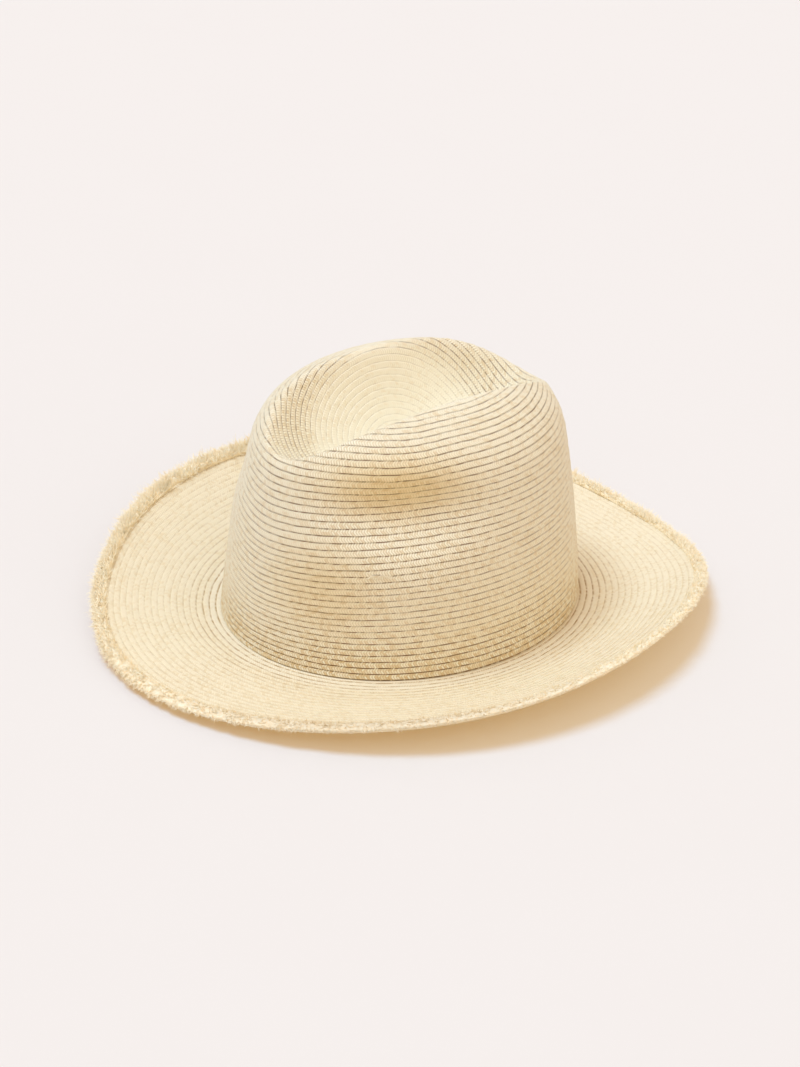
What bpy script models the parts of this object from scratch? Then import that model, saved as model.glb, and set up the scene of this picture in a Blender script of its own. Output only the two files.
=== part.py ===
"""Straw braid hat: a creased crown on a swept brim with a frayed edge, and a sweatband inside.

Metres, +Z up. The front of the hat is -Y and the wearer's left is +X. The hat stands on the flat
land of its brim, under the foot of the crown, at z = 0.
"""

import math

import bmesh
import bpy
import numpy as np

# Head opening, measured outside the foot of the crown
HEAD_LENGTH = 0.208
HEAD_WIDTH = 0.172

# Sewn straw braid, and the clearance at every seam
BRAID_THICKNESS = 0.0018
SEAM_GAP = 0.0003

# Crown before it is creased, from the foot up: a leaning wall, a round shoulder and a domed tip
WALL_LENGTH = 0.097
WALL_LEAN_FOOT = math.radians(4.2)
WALL_LEAN_TOP = math.radians(10.8)
SHOULDER_RADIUS = 0.045
TIP_SLOPE = math.radians(24.0)
TIP_ROUND_REACH = 0.040
CROWN_RAKE = 0.0040
RAKE_HEIGHT = 0.140

# Crease along the top, and the pinches at both front sides
CREASE_FLOOR = 0.089
CREASE_CENTRE = -0.003
CREASE_FRONT_REACH = 0.082
CREASE_FRONT_RISE = 0.017
CREASE_BACK_REACH = 0.078
CREASE_BACK_RISE = 0.019
CREASE_CURVE_RADIUS = 0.0145
CREASE_BLEND = 0.008
CREASE_POWER = 3
PINCH_DEPTH = 0.0042
PINCH_FORWARD = 0.042
PINCH_HEIGHT = 0.104
PINCH_LENGTH = 0.026
PINCH_TALL = 0.020
PINCH_FADE = 0.030

# Splice, where the second length of crown braid laps inside the first
SPLICE_HEIGHT = 0.060
SPLICE_LAP = 0.005
SPLICE_RAMP = 0.007
SPLICE_EASE = 0.001

# Brim: flat land under the crown, then a sweep up to the edge's height at five stations round one side
BRIM_LAND = 0.004
BRIM_WIDTH = 0.0695
BRIM_CURL = 1.4
LIFT_FRONT = 0.0035
LIFT_FRONT_QUARTER = 0.0118
LIFT_SIDE = 0.0225
LIFT_BACK_QUARTER = 0.0180
LIFT_BACK = 0.0015

# Frayed edge: a strip of braid sewn on the brim, with tufts of loose straw
FRINGE_STRIP = 0.004
FRINGE_INSET = 0.001
FRINGE_THICKNESS = 0.0012
FRINGE_TIP_THICKNESS = 0.0006
FRINGE_NOTCH = 0.0015
FRINGE_SHORT = 0.0036
FRINGE_LONG = 0.0058
FRINGE_RISE = 0.0020
TUFT_COUNT = 120
TUFT_SEED = 7

# Sweatband and its size tape, all behind or on the band's face
BAND_HEIGHT = 0.028
BAND_THICKNESS = 0.0008
BAND_LEDGE = 0.0006
TAPE_WIDTH = 0.014
TAPE_THICKNESS = 0.0008
TAPE_GAP = 0.0005
TAPE_TAIL = math.radians(20.0)
TAPE_STEP = math.radians(8.0)
TAPE_FRONT = math.radians(18.0)
TAPE_TRAVEL = math.radians(11.0)
WINDOW_EASE = math.radians(1.5)
WINDOW_MARGIN = 0.001
PATCH_THICKNESS = 0.0008
PATCH_LENGTH = math.radians(18.0)
PATCH_EASE = math.radians(1.0)

# Care label, sewn by its top edge to the band on the wearer's left
LABEL_WIDTH = 0.030
LABEL_HEIGHT = 0.018
LABEL_THICKNESS = 0.0005
LABEL_DROP = 0.0015

# Facets
COLUMNS = 64
BRIM_ROWS = 6
WALL_ROWS = 10
CREASE_ROWS = 7
TAPE_COLUMNS = 24
PROFILE_SAMPLES = 400
NORMAL_STEP = 0.0004
MERGE_DISTANCE = 1e-6
SMALLEST_LENGTH = 1e-12
SHARP_ANGLE = math.radians(40.0)

# Colours and finishes: base colour, roughness
STRAW = ((0.87, 0.74, 0.50, 1.0), 0.75)
STRAW_EDGE = ((0.86, 0.70, 0.42, 1.0), 0.85)
RIBBON = ((0.80, 0.72, 0.58, 1.0), 0.80)
TAPE_CLOTH = ((0.74, 0.66, 0.52, 1.0), 0.90)
LABEL_CLOTH = ((0.93, 0.92, 0.88, 1.0), 0.70)

HALF_WIDTH = HEAD_WIDTH / 2
OVAL_EXTRA = (HEAD_LENGTH - HEAD_WIDTH) / 2
FOOT_Z = BRAID_THICKNESS + SEAM_GAP

# Depths below the crown's outer face, in the order that the layers lie
TAPE_DEPTH = BRAID_THICKNESS + TAPE_GAP
BAND_DEPTH = TAPE_DEPTH + TAPE_THICKNESS + TAPE_GAP
BAND_INNER_DEPTH = BAND_DEPTH + BAND_THICKNESS
PATCH_DEPTH = BAND_INNER_DEPTH + SEAM_GAP
HOOK_DEPTH = PATCH_DEPTH + PATCH_THICKNESS + TAPE_GAP
TAPE_LOW = FOOT_Z + (BAND_HEIGHT - TAPE_WIDTH) / 2


def crown_profile():
    """Meridian of the open crown: distance from the foot, half width and height above the foot."""
    shoulder_start = math.pi / 2 - WALL_LEAN_TOP
    shoulder_length = SHOULDER_RADIUS * (shoulder_start - TIP_SLOPE)
    wall = np.linspace(0.0, WALL_LENGTH, PROFILE_SAMPLES)
    wall_slope = math.pi / 2 - WALL_LEAN_FOOT - (WALL_LEAN_TOP - WALL_LEAN_FOOT) * wall / WALL_LENGTH
    shoulder = np.linspace(0.0, shoulder_length, PROFILE_SAMPLES)[1:]
    shoulder_slope = shoulder_start - shoulder / SHOULDER_RADIUS
    distance = np.concatenate([wall, WALL_LENGTH + shoulder])
    slope = np.concatenate([wall_slope, shoulder_slope])
    half_width, height = walk(distance, slope, HALF_WIDTH, 0.0)
    dome_radius = half_width[-1] / math.sin(TIP_SLOPE)
    tip = np.linspace(0.0, dome_radius * TIP_SLOPE, PROFILE_SAMPLES)[1:]
    tip_slope = TIP_SLOPE - tip / dome_radius
    half_width = np.concatenate([half_width, dome_radius * np.sin(tip_slope)])
    tip_height = height[-1] + dome_radius * (np.cos(tip_slope) - math.cos(TIP_SLOPE))
    height = np.concatenate([height, tip_height])
    return np.concatenate([distance, distance[-1] + tip]), half_width, height


def walk(distance, slope, half_width, height):
    """Adds up the steps of a meridian that climbs inwards at the given slopes."""
    steps = np.diff(distance)
    middle = (slope[1:] + slope[:-1]) / 2
    inwards = np.concatenate([[0.0], np.cumsum(steps * np.cos(middle))])
    upwards = np.concatenate([[0.0], np.cumsum(steps * np.sin(middle))])
    return half_width - inwards, height + upwards


PROFILE = crown_profile()
CROWN_REACH = PROFILE[0][-1]


def crease(x, y, z):
    """Lowers the crown into the top crease, and draws in its front sides."""
    along = y - CREASE_CENTRE
    rise = np.where(
        along < 0,
        CREASE_FRONT_RISE * np.abs(along / CREASE_FRONT_REACH) ** CREASE_POWER,
        CREASE_BACK_RISE * np.abs(along / CREASE_BACK_REACH) ** CREASE_POWER,
    )
    trough = FOOT_Z + CREASE_FLOOR + rise + x**2 / (2 * CREASE_CURVE_RADIUS)
    share = np.clip(0.5 + 0.5 * (trough - z) / CREASE_BLEND, 0, 1)
    creased = trough * (1 - share) + z * share - CREASE_BLEND * share * (1 - share)
    forward = (y + PINCH_FORWARD) / PINCH_LENGTH
    above = (creased - FOOT_Z - PINCH_HEIGHT) / PINCH_TALL
    pinch = PINCH_DEPTH * np.exp(-(forward**2) - above**2) * np.clip(np.abs(x) / PINCH_FADE, 0, 1)
    return x - np.sign(x) * pinch, y, creased


def crown_points(climb, turn):
    """Points on the crown's outer face: climb from the foot, turn round from the front towards +X."""
    half_width = np.interp(climb, PROFILE[0], PROFILE[1])
    height = np.interp(climb, PROFILE[0], PROFILE[2])
    roundness = np.clip(1 - half_width / TIP_ROUND_REACH, 0, 1) ** 2
    half_length = half_width + OVAL_EXTRA * (1 - roundness)
    x = half_width * np.sin(turn)
    y = -half_length * np.cos(turn) - CROWN_RAKE * height / RAKE_HEIGHT
    return np.stack(crease(x, y, FOOT_Z + height), axis=-1)


def unit(vectors):
    """Vectors scaled to length one, with straight up where the length is nothing."""
    length = np.linalg.norm(vectors, axis=-1, keepdims=True)
    scaled = vectors / np.maximum(length, SMALLEST_LENGTH)
    return np.where(length > SMALLEST_LENGTH, scaled, [0.0, 0.0, 1.0])


def crown_layer(climb, turn, depth):
    """Points at a depth below the crown's outer face, with the foot's row level."""
    climb, turn, depth = np.broadcast_arrays(climb, turn, depth)
    up = crown_points(climb + NORMAL_STEP, turn) - crown_points(climb - NORMAL_STEP, turn)
    around = crown_points(climb, turn + NORMAL_STEP) - crown_points(climb, turn - NORMAL_STEP)
    normal = unit(np.cross(around, up))
    normal = np.where((climb < CROWN_REACH - NORMAL_STEP)[..., None], normal, [0.0, 0.0, 1.0])
    points = crown_points(climb, turn) - depth[..., None] * normal
    points[..., 2] = np.where(climb <= 0, FOOT_Z, points[..., 2])
    return points


def edge_lift(turn):
    """Height of the brim's edge above its land: a cosine series through the five stations."""
    stations = np.array([LIFT_FRONT, LIFT_FRONT_QUARTER, LIFT_SIDE, LIFT_BACK_QUARTER, LIFT_BACK])
    order = np.arange(stations.size)
    angles = order * math.pi / (stations.size - 1)
    series = np.linalg.solve(np.cos(np.outer(angles, order)), stations)
    return np.tensordot(series, np.cos(np.multiply.outer(order, turn)), axes=1)


def brim_points(reach, turn):
    """Points on the brim's top face: reach is the distance along the brim from the crown's foot."""
    reach, turn = np.broadcast_arrays(reach, turn)
    sweep = np.maximum(reach - BRIM_LAND, 0) / (BRIM_WIDTH - BRIM_LAND)
    shares = np.linspace(0, 1, PROFILE_SAMPLES)[:, None, None]
    lift = edge_lift(turn)
    climb = lift * (sweep * shares) ** BRIM_CURL
    run = np.maximum(reach - BRIM_LAND, 0) / (PROFILE_SAMPLES - 1)
    outwards = np.sqrt(np.maximum(run**2 - np.diff(climb, axis=0) ** 2, 0)).sum(axis=0)
    half_width = HALF_WIDTH + np.minimum(reach, BRIM_LAND) + outwards
    x = half_width * np.sin(turn)
    y = -(half_width + OVAL_EXTRA) * np.cos(turn)
    return np.stack([x, y, BRAID_THICKNESS + climb[-1]], axis=-1)


def brim_layer(reach, turn, height):
    """Points at a height above the brim's top face."""
    reach, turn, height = np.broadcast_arrays(reach, turn, height)
    out = brim_points(reach + NORMAL_STEP, turn) - brim_points(reach - NORMAL_STEP, turn)
    around = brim_points(reach, turn + NORMAL_STEP) - brim_points(reach, turn - NORMAL_STEP)
    return brim_points(reach, turn) + height[..., None] * unit(np.cross(out, around))


def shell(name, front, back, finish, closed=True, keep=None, origin=(0.0, 0.0, 0.0)):
    """One closed body between two matching grids of points, with a wall along every open border."""
    rows, columns = front.shape[:2]
    spans = columns if closed else columns - 1
    count = rows * columns
    faces = []
    border = set()
    for row in range(rows - 1):
        for column in range(spans):
            if keep is not None and not keep[row, column]:
                continue
            beside = (column + 1) % columns
            corners = [row * columns + column, row * columns + beside]
            corners += [(row + 1) * columns + beside, (row + 1) * columns + column]
            faces.append(corners)
            faces.append([corner + count for corner in reversed(corners)])
            for start, end in zip(corners, corners[1:] + corners[:1]):
                if (end, start) in border:
                    border.remove((end, start))
                else:
                    border.add((start, end))
    faces += [[end, start, start + count, end + count] for start, end in sorted(border)]
    points = np.concatenate([front.reshape(-1, 3), back.reshape(-1, 3)]) - np.array(origin)
    mesh = bpy.data.meshes.new(name)
    mesh.from_pydata(points.tolist(), [], faces)
    form = bmesh.new()
    form.from_mesh(mesh)
    loose = [corner for corner in form.verts if not corner.link_faces]
    bmesh.ops.delete(form, geom=loose, context="VERTS")
    bmesh.ops.remove_doubles(form, verts=form.verts, dist=MERGE_DISTANCE)
    bmesh.ops.triangulate(form, faces=form.faces)
    form.to_mesh(mesh)
    form.free()
    mesh.shade_smooth()
    mesh.set_sharp_from_angle(angle=SHARP_ANGLE)
    piece = bpy.data.objects.new(name, mesh)
    piece.location = origin
    piece.data.materials.append(surface(name, *finish))
    bpy.context.scene.collection.objects.link(piece)
    return piece


def surface(name, colour, roughness):
    """Plain material of one colour and roughness."""
    material = bpy.data.materials.new(name)
    material.use_nodes = True
    shader = material.node_tree.nodes["Principled BSDF"]
    shader.inputs["Base Color"].default_value = colour
    shader.inputs["Roughness"].default_value = roughness
    shader.inputs["Metallic"].default_value = 0.0
    return material


def full_turn(columns):
    """Even turns round the hat, from the front."""
    return np.arange(columns) * 2 * math.pi / columns


def ridge_climb(turn):
    """Climb at which each meridian is highest: the ridges, and the crease's lips at front and back."""
    climb = np.linspace(WALL_LENGTH, CROWN_REACH, PROFILE_SAMPLES)
    height = crown_points(climb[:, None], turn)[..., 2]
    return climb[height.argmax(axis=0)]


def crown_upper():
    """First length of crown braid: tip, crease, shoulder and upper wall, with a row on the ridge."""
    turn = full_turn(COLUMNS)[None, :]
    ridge = ridge_climb(turn)[None, :]
    below = SPLICE_HEIGHT + (ridge - SPLICE_HEIGHT) * np.linspace(0, 1, WALL_ROWS + 1)[:, None]
    beyond = ridge + (CROWN_REACH - ridge) * np.linspace(0, 1, CREASE_ROWS + 1)[1:, None]
    climb = np.concatenate([below, beyond])
    outer = crown_layer(climb, turn, 0.0)
    inner = crown_layer(climb, turn, BRAID_THICKNESS)
    shell("crown_upper", outer, inner, STRAW)


def crown_lower():
    """Second length of crown braid: the wall from the foot up, its top lapped inside the first."""
    landing = SPLICE_HEIGHT - SPLICE_EASE
    ramp = landing - SPLICE_RAMP
    climb = np.array([0.0, ramp / 2, ramp, landing, SPLICE_HEIGHT + SPLICE_LAP])[:, None]
    step = np.where(climb > ramp, BRAID_THICKNESS + SEAM_GAP, 0.0)
    turn = full_turn(COLUMNS)[None, :]
    outer = crown_layer(climb, turn, step)
    inner = crown_layer(climb, turn, step + BRAID_THICKNESS)
    shell("crown_lower", outer, inner, STRAW)


def brim():
    """Brim braid, from the ledge that carries the sweatband to the swept edge."""
    ledge = -(BAND_INNER_DEPTH + BAND_LEDGE)
    swept = BRIM_LAND + (BRIM_WIDTH - BRIM_LAND) * np.linspace(0, 1, BRIM_ROWS + 1)
    reach = np.concatenate([[ledge], swept])[:, None]
    turn = full_turn(COLUMNS)[None, :]
    top = brim_layer(reach, turn, 0.0)
    bottom = brim_layer(reach, turn, -BRAID_THICKNESS)
    bottom[:2, :, 2] = 0.0
    shell("brim", bottom, top, STRAW)


def fringe():
    """Frayed edge: a ring of strip sewn on the brim, notched into tufts of uneven length."""
    turn = full_turn(2 * TUFT_COUNT)[None, :]
    draw = np.random.default_rng(TUFT_SEED)
    root = BRIM_WIDTH - FRINGE_INSET
    tuft = draw.uniform(FRINGE_SHORT, FRINGE_LONG, 2 * TUFT_COUNT)
    tuft[0::2] = FRINGE_NOTCH
    reach = np.stack([np.full_like(tuft, root - FRINGE_STRIP), np.full_like(tuft, root), root + tuft])
    rise = np.array([0.0, 0.0, FRINGE_RISE])[:, None] * np.ones_like(reach)
    thickness = np.array([FRINGE_THICKNESS, FRINGE_THICKNESS, FRINGE_TIP_THICKNESS])[:, None]
    bottom = brim_layer(reach, turn, SEAM_GAP + rise)
    top = brim_layer(reach, turn, SEAM_GAP + rise + thickness)
    shell("fringe", bottom, top, STRAW_EDGE)


def back_arc():
    """Radius and centre of the round back of the crown's outer face, half way up the tape."""
    climb = TAPE_LOW + TAPE_WIDTH / 2 - FOOT_Z
    half_width = np.interp(climb, PROFILE[0], PROFILE[1])
    height = np.interp(climb, PROFILE[0], PROFILE[2])
    half_length = half_width + OVAL_EXTRA
    radius = half_width**2 / half_length
    return radius, half_length - CROWN_RAKE * height / RAKE_HEIGHT - radius


ARC_RADIUS, ARC_CENTRE = back_arc()
TAPE_REST = -(TAPE_STEP + TAPE_TRAVEL) / 2
WINDOW_HALF = (TAPE_STEP + TAPE_TRAVEL) / 2 + WINDOW_EASE


def turn_at_arc(angle):
    """Turn round the hat of the point that lies at an angle round the back arc, from +Y towards +X."""
    x = ARC_RADIUS * np.sin(angle)
    return math.pi - np.arcsin(np.clip(x / HALF_WIDTH, -1, 1))


def sweatband():
    """Ribbon ring inside the crown's foot, with a window at the back for the size tape."""
    edges = np.array([turn_at_arc(WINDOW_HALF), turn_at_arc(-WINDOW_HALF)])
    turn = np.sort(np.concatenate([full_turn(COLUMNS), edges]))
    low = TAPE_LOW - WINDOW_MARGIN - FOOT_Z
    climb = np.array([0.0, low, low + TAPE_WIDTH + 2 * WINDOW_MARGIN, BAND_HEIGHT])
    keep = np.ones((climb.size - 1, turn.size), bool)
    middle = (turn + np.roll(turn, -1)) / 2
    keep[1] = (middle < edges[0]) | (middle > edges[1]) | (np.roll(turn, -1) < turn)
    outer = crown_layer(climb[:, None], turn[None, :], BAND_DEPTH)
    inner = crown_layer(climb[:, None], turn[None, :], BAND_INNER_DEPTH)
    shell("sweatband", outer, inner, RIBBON, keep=keep)


def loop_patch():
    """Soft half of the fastener, sewn on the band's face beside the window."""
    start = WINDOW_HALF + PATCH_EASE
    angle = np.linspace(start + PATCH_LENGTH, start, TAPE_COLUMNS // 2)
    climb = np.array([TAPE_LOW, TAPE_LOW + TAPE_WIDTH]) - FOOT_Z
    outer = crown_layer(climb[:, None], turn_at_arc(angle)[None, :], PATCH_DEPTH)
    inner = crown_layer(climb[:, None], turn_at_arc(angle)[None, :], PATCH_DEPTH + PATCH_THICKNESS)
    shell("loop_patch", outer, inner, TAPE_CLOTH, closed=False)


def hook_tape():
    """Sliding half of the fastener: a tail behind the band and a front over the patch."""
    ends = [TAPE_REST - TAPE_TAIL, TAPE_REST, TAPE_REST + TAPE_STEP, TAPE_REST + TAPE_STEP + TAPE_FRONT]
    angle = np.linspace(ends[3], ends[0], TAPE_COLUMNS)
    share = np.clip((angle - ends[1]) / TAPE_STEP, 0, 1)
    depth = TAPE_DEPTH + (HOOK_DEPTH - TAPE_DEPTH) * share**2 * (3 - 2 * share)
    height = np.array([TAPE_LOW, TAPE_LOW + TAPE_WIDTH])[:, None]
    lean = ARC_CENTRE + ARC_RADIUS - crown_points(height - FOOT_Z, math.pi)[..., 1]
    outer = arc_points(ARC_RADIUS - depth - lean, angle, height)
    inner = arc_points(ARC_RADIUS - depth - TAPE_THICKNESS - lean, angle, height)
    shell("hook_tape", outer, inner, TAPE_CLOTH, closed=False, origin=(0.0, ARC_CENTRE, TAPE_LOW))


def arc_points(radius, angle, height):
    """Points round the back arc."""
    radius, angle, height = np.broadcast_arrays(radius, angle, height)
    return np.stack([radius * np.sin(angle), ARC_CENTRE + radius * np.cos(angle), height], axis=-1)


def care_label():
    """Blank woven label that hangs flat from its sewn top edge."""
    top = BAND_HEIGHT - LABEL_DROP
    side = math.asin(LABEL_WIDTH / HEAD_LENGTH)
    seat = crown_layer(top, math.pi / 2 + side, BAND_INNER_DEPTH + SEAM_GAP)
    x = np.array([seat[0], seat[0] - LABEL_THICKNESS])
    y = np.array([seat[1] - LABEL_WIDTH, seat[1]])
    z = np.array([seat[2] - LABEL_HEIGHT, seat[2]])
    grids = [np.broadcast_arrays(plane, y[None, :], z[:, None]) for plane in x]
    outer, inner = (np.stack(grid, axis=-1) for grid in grids)
    origin = (float(x.mean()), float(y.mean()), float(seat[2]))
    shell("care_label", outer, inner, LABEL_CLOTH, closed=False, origin=origin)


def main():
    """Clears the scene and builds every piece of the hat."""
    for piece in list(bpy.data.objects):
        bpy.data.objects.remove(piece, do_unlink=True)
    crown_upper()
    crown_lower()
    brim()
    fringe()
    sweatband()
    loop_patch()
    hook_tape()
    care_label()
    bpy.context.view_layer.update()


main()
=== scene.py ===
"""Looks of a straw braid hat: spiral braid, frayed edge, sweatband, size tape and care label.

Metres, +Z up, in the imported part's frame: the front of the hat is -Y and the wearer's left is +X.
A turn is an angle round the hat, 0 at the front and growing towards +X.
"""

import logging
import math
from dataclasses import dataclass, field
from enum import Enum
from functools import cached_property, reduce
from typing import Protocol

import bmesh
import bpy
import numpy as np
from mathutils import Matrix, Vector


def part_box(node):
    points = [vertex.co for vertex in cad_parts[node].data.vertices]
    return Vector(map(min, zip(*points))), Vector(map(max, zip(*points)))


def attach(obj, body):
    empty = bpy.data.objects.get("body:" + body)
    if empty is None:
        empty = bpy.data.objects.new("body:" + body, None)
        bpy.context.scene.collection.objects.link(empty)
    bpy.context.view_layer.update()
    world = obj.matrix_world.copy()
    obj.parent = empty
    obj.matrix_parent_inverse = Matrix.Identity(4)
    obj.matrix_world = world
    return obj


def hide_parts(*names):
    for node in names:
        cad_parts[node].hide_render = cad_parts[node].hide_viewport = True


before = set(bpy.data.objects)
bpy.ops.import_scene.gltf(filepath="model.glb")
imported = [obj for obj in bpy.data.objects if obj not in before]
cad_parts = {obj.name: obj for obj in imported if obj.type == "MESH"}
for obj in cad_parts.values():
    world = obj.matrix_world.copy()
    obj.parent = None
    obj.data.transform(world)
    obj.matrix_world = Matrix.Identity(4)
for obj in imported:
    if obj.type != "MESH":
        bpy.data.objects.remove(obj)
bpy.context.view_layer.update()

logging.basicConfig(level=logging.INFO, format="%(message)s")
log = logging.getLogger("straw_hat")

Array = np.ndarray
Colour = tuple[float, float, float]
Socket = bpy.types.NodeSocket
Value = float | Colour | Socket

FULL_TURN = 2 * math.pi
PATTERN = "pattern"
SHARP_FOLD = math.radians(50)
# Points closer than the first are welded, and lengths below the second count as nothing.
WELD = 2e-6
TINY = 1e-12
# A push off the axis, so that a straight strand still has sides.
OFF_AXIS = (1e-7, 2e-7, 3e-7)
# Thickness of a strand as a share of its width.
STRAND_FLAT = 0.6
# Taken off a table's size, it keeps a place inside the table's last cell.
LAST_CELL = 1.001
# The brim's top lies this far under the crown's foot.
BRIM_DROP = 0.0003


class Body(Enum):
    """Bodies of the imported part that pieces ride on."""

    HAT = "hat"
    TAPE = "size_tape"
    LABEL = "label"


class Slot(Enum):
    """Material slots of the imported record."""

    STRAW = "straw_braid"
    FRAYED = "frayed_straw"
    RIBBON = "ribbon"
    LOOP = "loop_tape"
    HOOK = "hook_tape"
    LABEL = "label_cloth"


class Face(Enum):
    """The two faces of a braid, with the sign of its way out."""

    OUTER = 1
    INNER = -1


def unit(vectors: Array) -> Array:
    """Vectors along the last axis scaled to length one, or straight up where they have no length."""
    length = np.linalg.norm(vectors, axis=-1, keepdims=True)
    return np.where(length > TINY, vectors / np.maximum(length, TINY), [0.0, 0.0, 1.0])


def cells(grid: Array) -> Array:
    """The four corners of every cell of a grid, in turning order, on an axis after rows and columns."""
    return np.stack([grid[:-1, :-1], grid[:-1, 1:], grid[1:, 1:], grid[1:, :-1]], axis=2)


def ease(share: Array) -> Array:
    """Smooth step: three times the square less twice the cube, between 0 and 1."""
    share = np.clip(share, 0.0, 1.0)
    return share**2 * (3 - 2 * share)


def run_along(path: Array) -> Array:
    """Running length along a path of points: the sum of its steps, from 0 at its start."""
    return np.append(0, np.cumsum(np.linalg.norm(np.diff(path, axis=0), axis=-1)))


def joined(*values: Array) -> Array:
    """Values spread to one shape and set side by side along a last axis."""
    return np.stack(np.broadcast_arrays(*values), axis=-1)


def ripple(
    turn: Array, distance: Array, seed: int, waves: int = 24, most: int = 48, steepest: float = 900.0
) -> Array:
    """Gentle unevenness: a mean of sines with whole wave counts round the hat, so that it closes.

    Args:
        turn: Turns round the hat.
        distance: Distances along the surface.
        seed: Seed of the random phases.
        waves: Number of sines.
        most: Largest wave count round the hat.
        steepest: Largest change of phase in a metre along the surface.

    Returns:
        Values between about -1 and 1.
    """
    draw = np.random.default_rng(seed)
    total = np.zeros(np.broadcast(turn, distance).shape)
    counts = draw.integers(1, most, waves)
    climbs = draw.uniform(-steepest, steepest, waves)
    phases = draw.uniform(0, FULL_TURN, waves)
    for count, climb, phase in zip(counts, climbs, phases):
        total = total + np.sin(count * turn + climb * distance + phase)
    return total / math.sqrt(waves)


class Graph:
    """Node wiring of one material."""

    def __init__(self, name: str) -> None:
        """Starts an empty material.

        Args:
            name: Name of the material.
        """
        self.material = bpy.data.materials.new(name)
        self.material.use_nodes = True
        self.tree = self.material.node_tree
        self.tree.nodes.clear()

    def feed(self, socket: Socket, value: Value) -> None:
        """Links a socket to another, or sets its number or colour.

        Args:
            socket: The input to feed.
            value: A socket, a number, or a colour of three shares.
        """
        if isinstance(value, bpy.types.NodeSocket):
            self.tree.links.new(value, socket)
        elif isinstance(value, tuple) and socket.type == "RGBA":
            socket.default_value = (*value, 1.0)
        else:
            socket.default_value = value

    def node(self, kind: str, sockets: dict | None = None, **choices: object) -> bpy.types.Node:
        """Adds a node, with its choices made first and then its inputs fed.

        Args:
            kind: The node's type, without the words that all shader nodes share.
            sockets: Values for inputs, by name or number.
            choices: The node's own settings.

        Returns:
            The node.
        """
        node = self.tree.nodes.new(f"ShaderNode{kind}")
        for name, choice in choices.items():
            setattr(node, name, choice)
        for key, value in (sockets or {}).items():
            self.feed(node.inputs[key], value)
        return node

    def math(self, operation: str, *values: Value) -> Socket:
        """One sum on one, two or three values."""
        return self.node("Math", dict(enumerate(values)), operation=operation).outputs[0]

    def mix(self, share: Value, first: Value, second: Value) -> Socket:
        """A colour between two, at a share of the second."""
        return self.node("Mix", {0: share, 6: first, 7: second}, data_type="RGBA").outputs[2]

    def tinted(self, share: Value, colour: Value, tint: Value) -> Socket:
        """A colour that is tinted, at a share of the tint."""
        sockets = {0: share, 6: colour, 7: tint}
        return self.node("Mix", sockets, data_type="RGBA", blend_type="MULTIPLY").outputs[2]

    def ramp(self, value: Value, low: float, high: float) -> Socket:
        """A smooth step from 0 at low to 1 at high."""
        sockets = {"Value": value, "From Min": low, "From Max": high}
        return self.node("MapRange", sockets, interpolation_type="SMOOTHSTEP").outputs[0]

    def about(self, value: Value, spread: float) -> Socket:
        """A value of 0 to 1 made to swing about 0, by a spread."""
        return self.times(self.math("SUBTRACT", value, 0.5), spread)

    def add(self, *values: Value) -> Socket:
        """The sum of several values."""
        return reduce(lambda total, value: self.math("ADD", total, value), values)

    def times(self, *values: Value) -> Socket:
        """The product of several values."""
        return reduce(lambda product, value: self.math("MULTIPLY", product, value), values)

    def clamp(self, value: Value) -> Socket:
        """A value kept between 0 and 1."""
        return self.math("MINIMUM", self.math("MAXIMUM", value, 0.0), 1.0)

    def vector(self, x: Value, y: Value) -> Socket:
        """A vector in the plane."""
        return self.node("CombineXYZ", {"X": x, "Y": y}).outputs[0]

    def noise(self, vector: Socket, scale: float, detail: float = 2.0) -> Socket:
        """Cloudy noise between 0 and 1."""
        sockets = {"Vector": vector, "Scale": scale, "Detail": detail}
        return self.node("TexNoise", sockets).outputs[0]

    def chance(self, x: Value, y: Value) -> Socket:
        """A random value between 0 and 1 for each pair of whole numbers."""
        white = self.node("TexWhiteNoise", {"Vector": self.vector(x, y)}, noise_dimensions="2D")
        return white.outputs[0]

    def pattern(self) -> tuple[Socket, Socket]:
        """The piece's own pattern coordinates, along and across."""
        split = self.node("SeparateXYZ", {0: self.node("UVMap", uv_map=PATTERN).outputs[0]})
        return split.outputs[0], split.outputs[1]

    def place(self) -> Socket:
        """Object coordinates, in metres."""
        return self.node("TexCoord").outputs["Object"]

    def bump(self, height: Socket, depth: float) -> Socket:
        """A bent normal from a height of 0 to 1 and the depth that it stands for."""
        return self.node("Bump", {"Height": height, "Distance": depth}).outputs[0]

    def skin(self, colour: Value, roughness: float, normal: Socket, sheen: float = 0.0) -> Socket:
        """A plain rough surface, with the soft sheen of fibres where its weight isn't nothing."""
        sockets = {"Base Color": colour, "Roughness": roughness, "Normal": normal, "Sheen Weight": sheen}
        return self.node("BsdfPrincipled", sockets).outputs[0]

    def thin(self, skin: Socket, glow: Colour, share: float, normal: Socket) -> Socket:
        """A skin that lets a share of the light through, in the colour of its glow."""
        through = self.node("BsdfTranslucent", {"Color": glow, "Normal": normal}).outputs[0]
        return self.node("MixShader", {0: share, 1: skin, 2: through}).outputs[0]

    def close(self, shader: Socket) -> bpy.types.Material:
        """Joins a shader to the output and gives the finished material."""
        self.node("OutputMaterial", {"Surface": shader})
        return self.material


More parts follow.
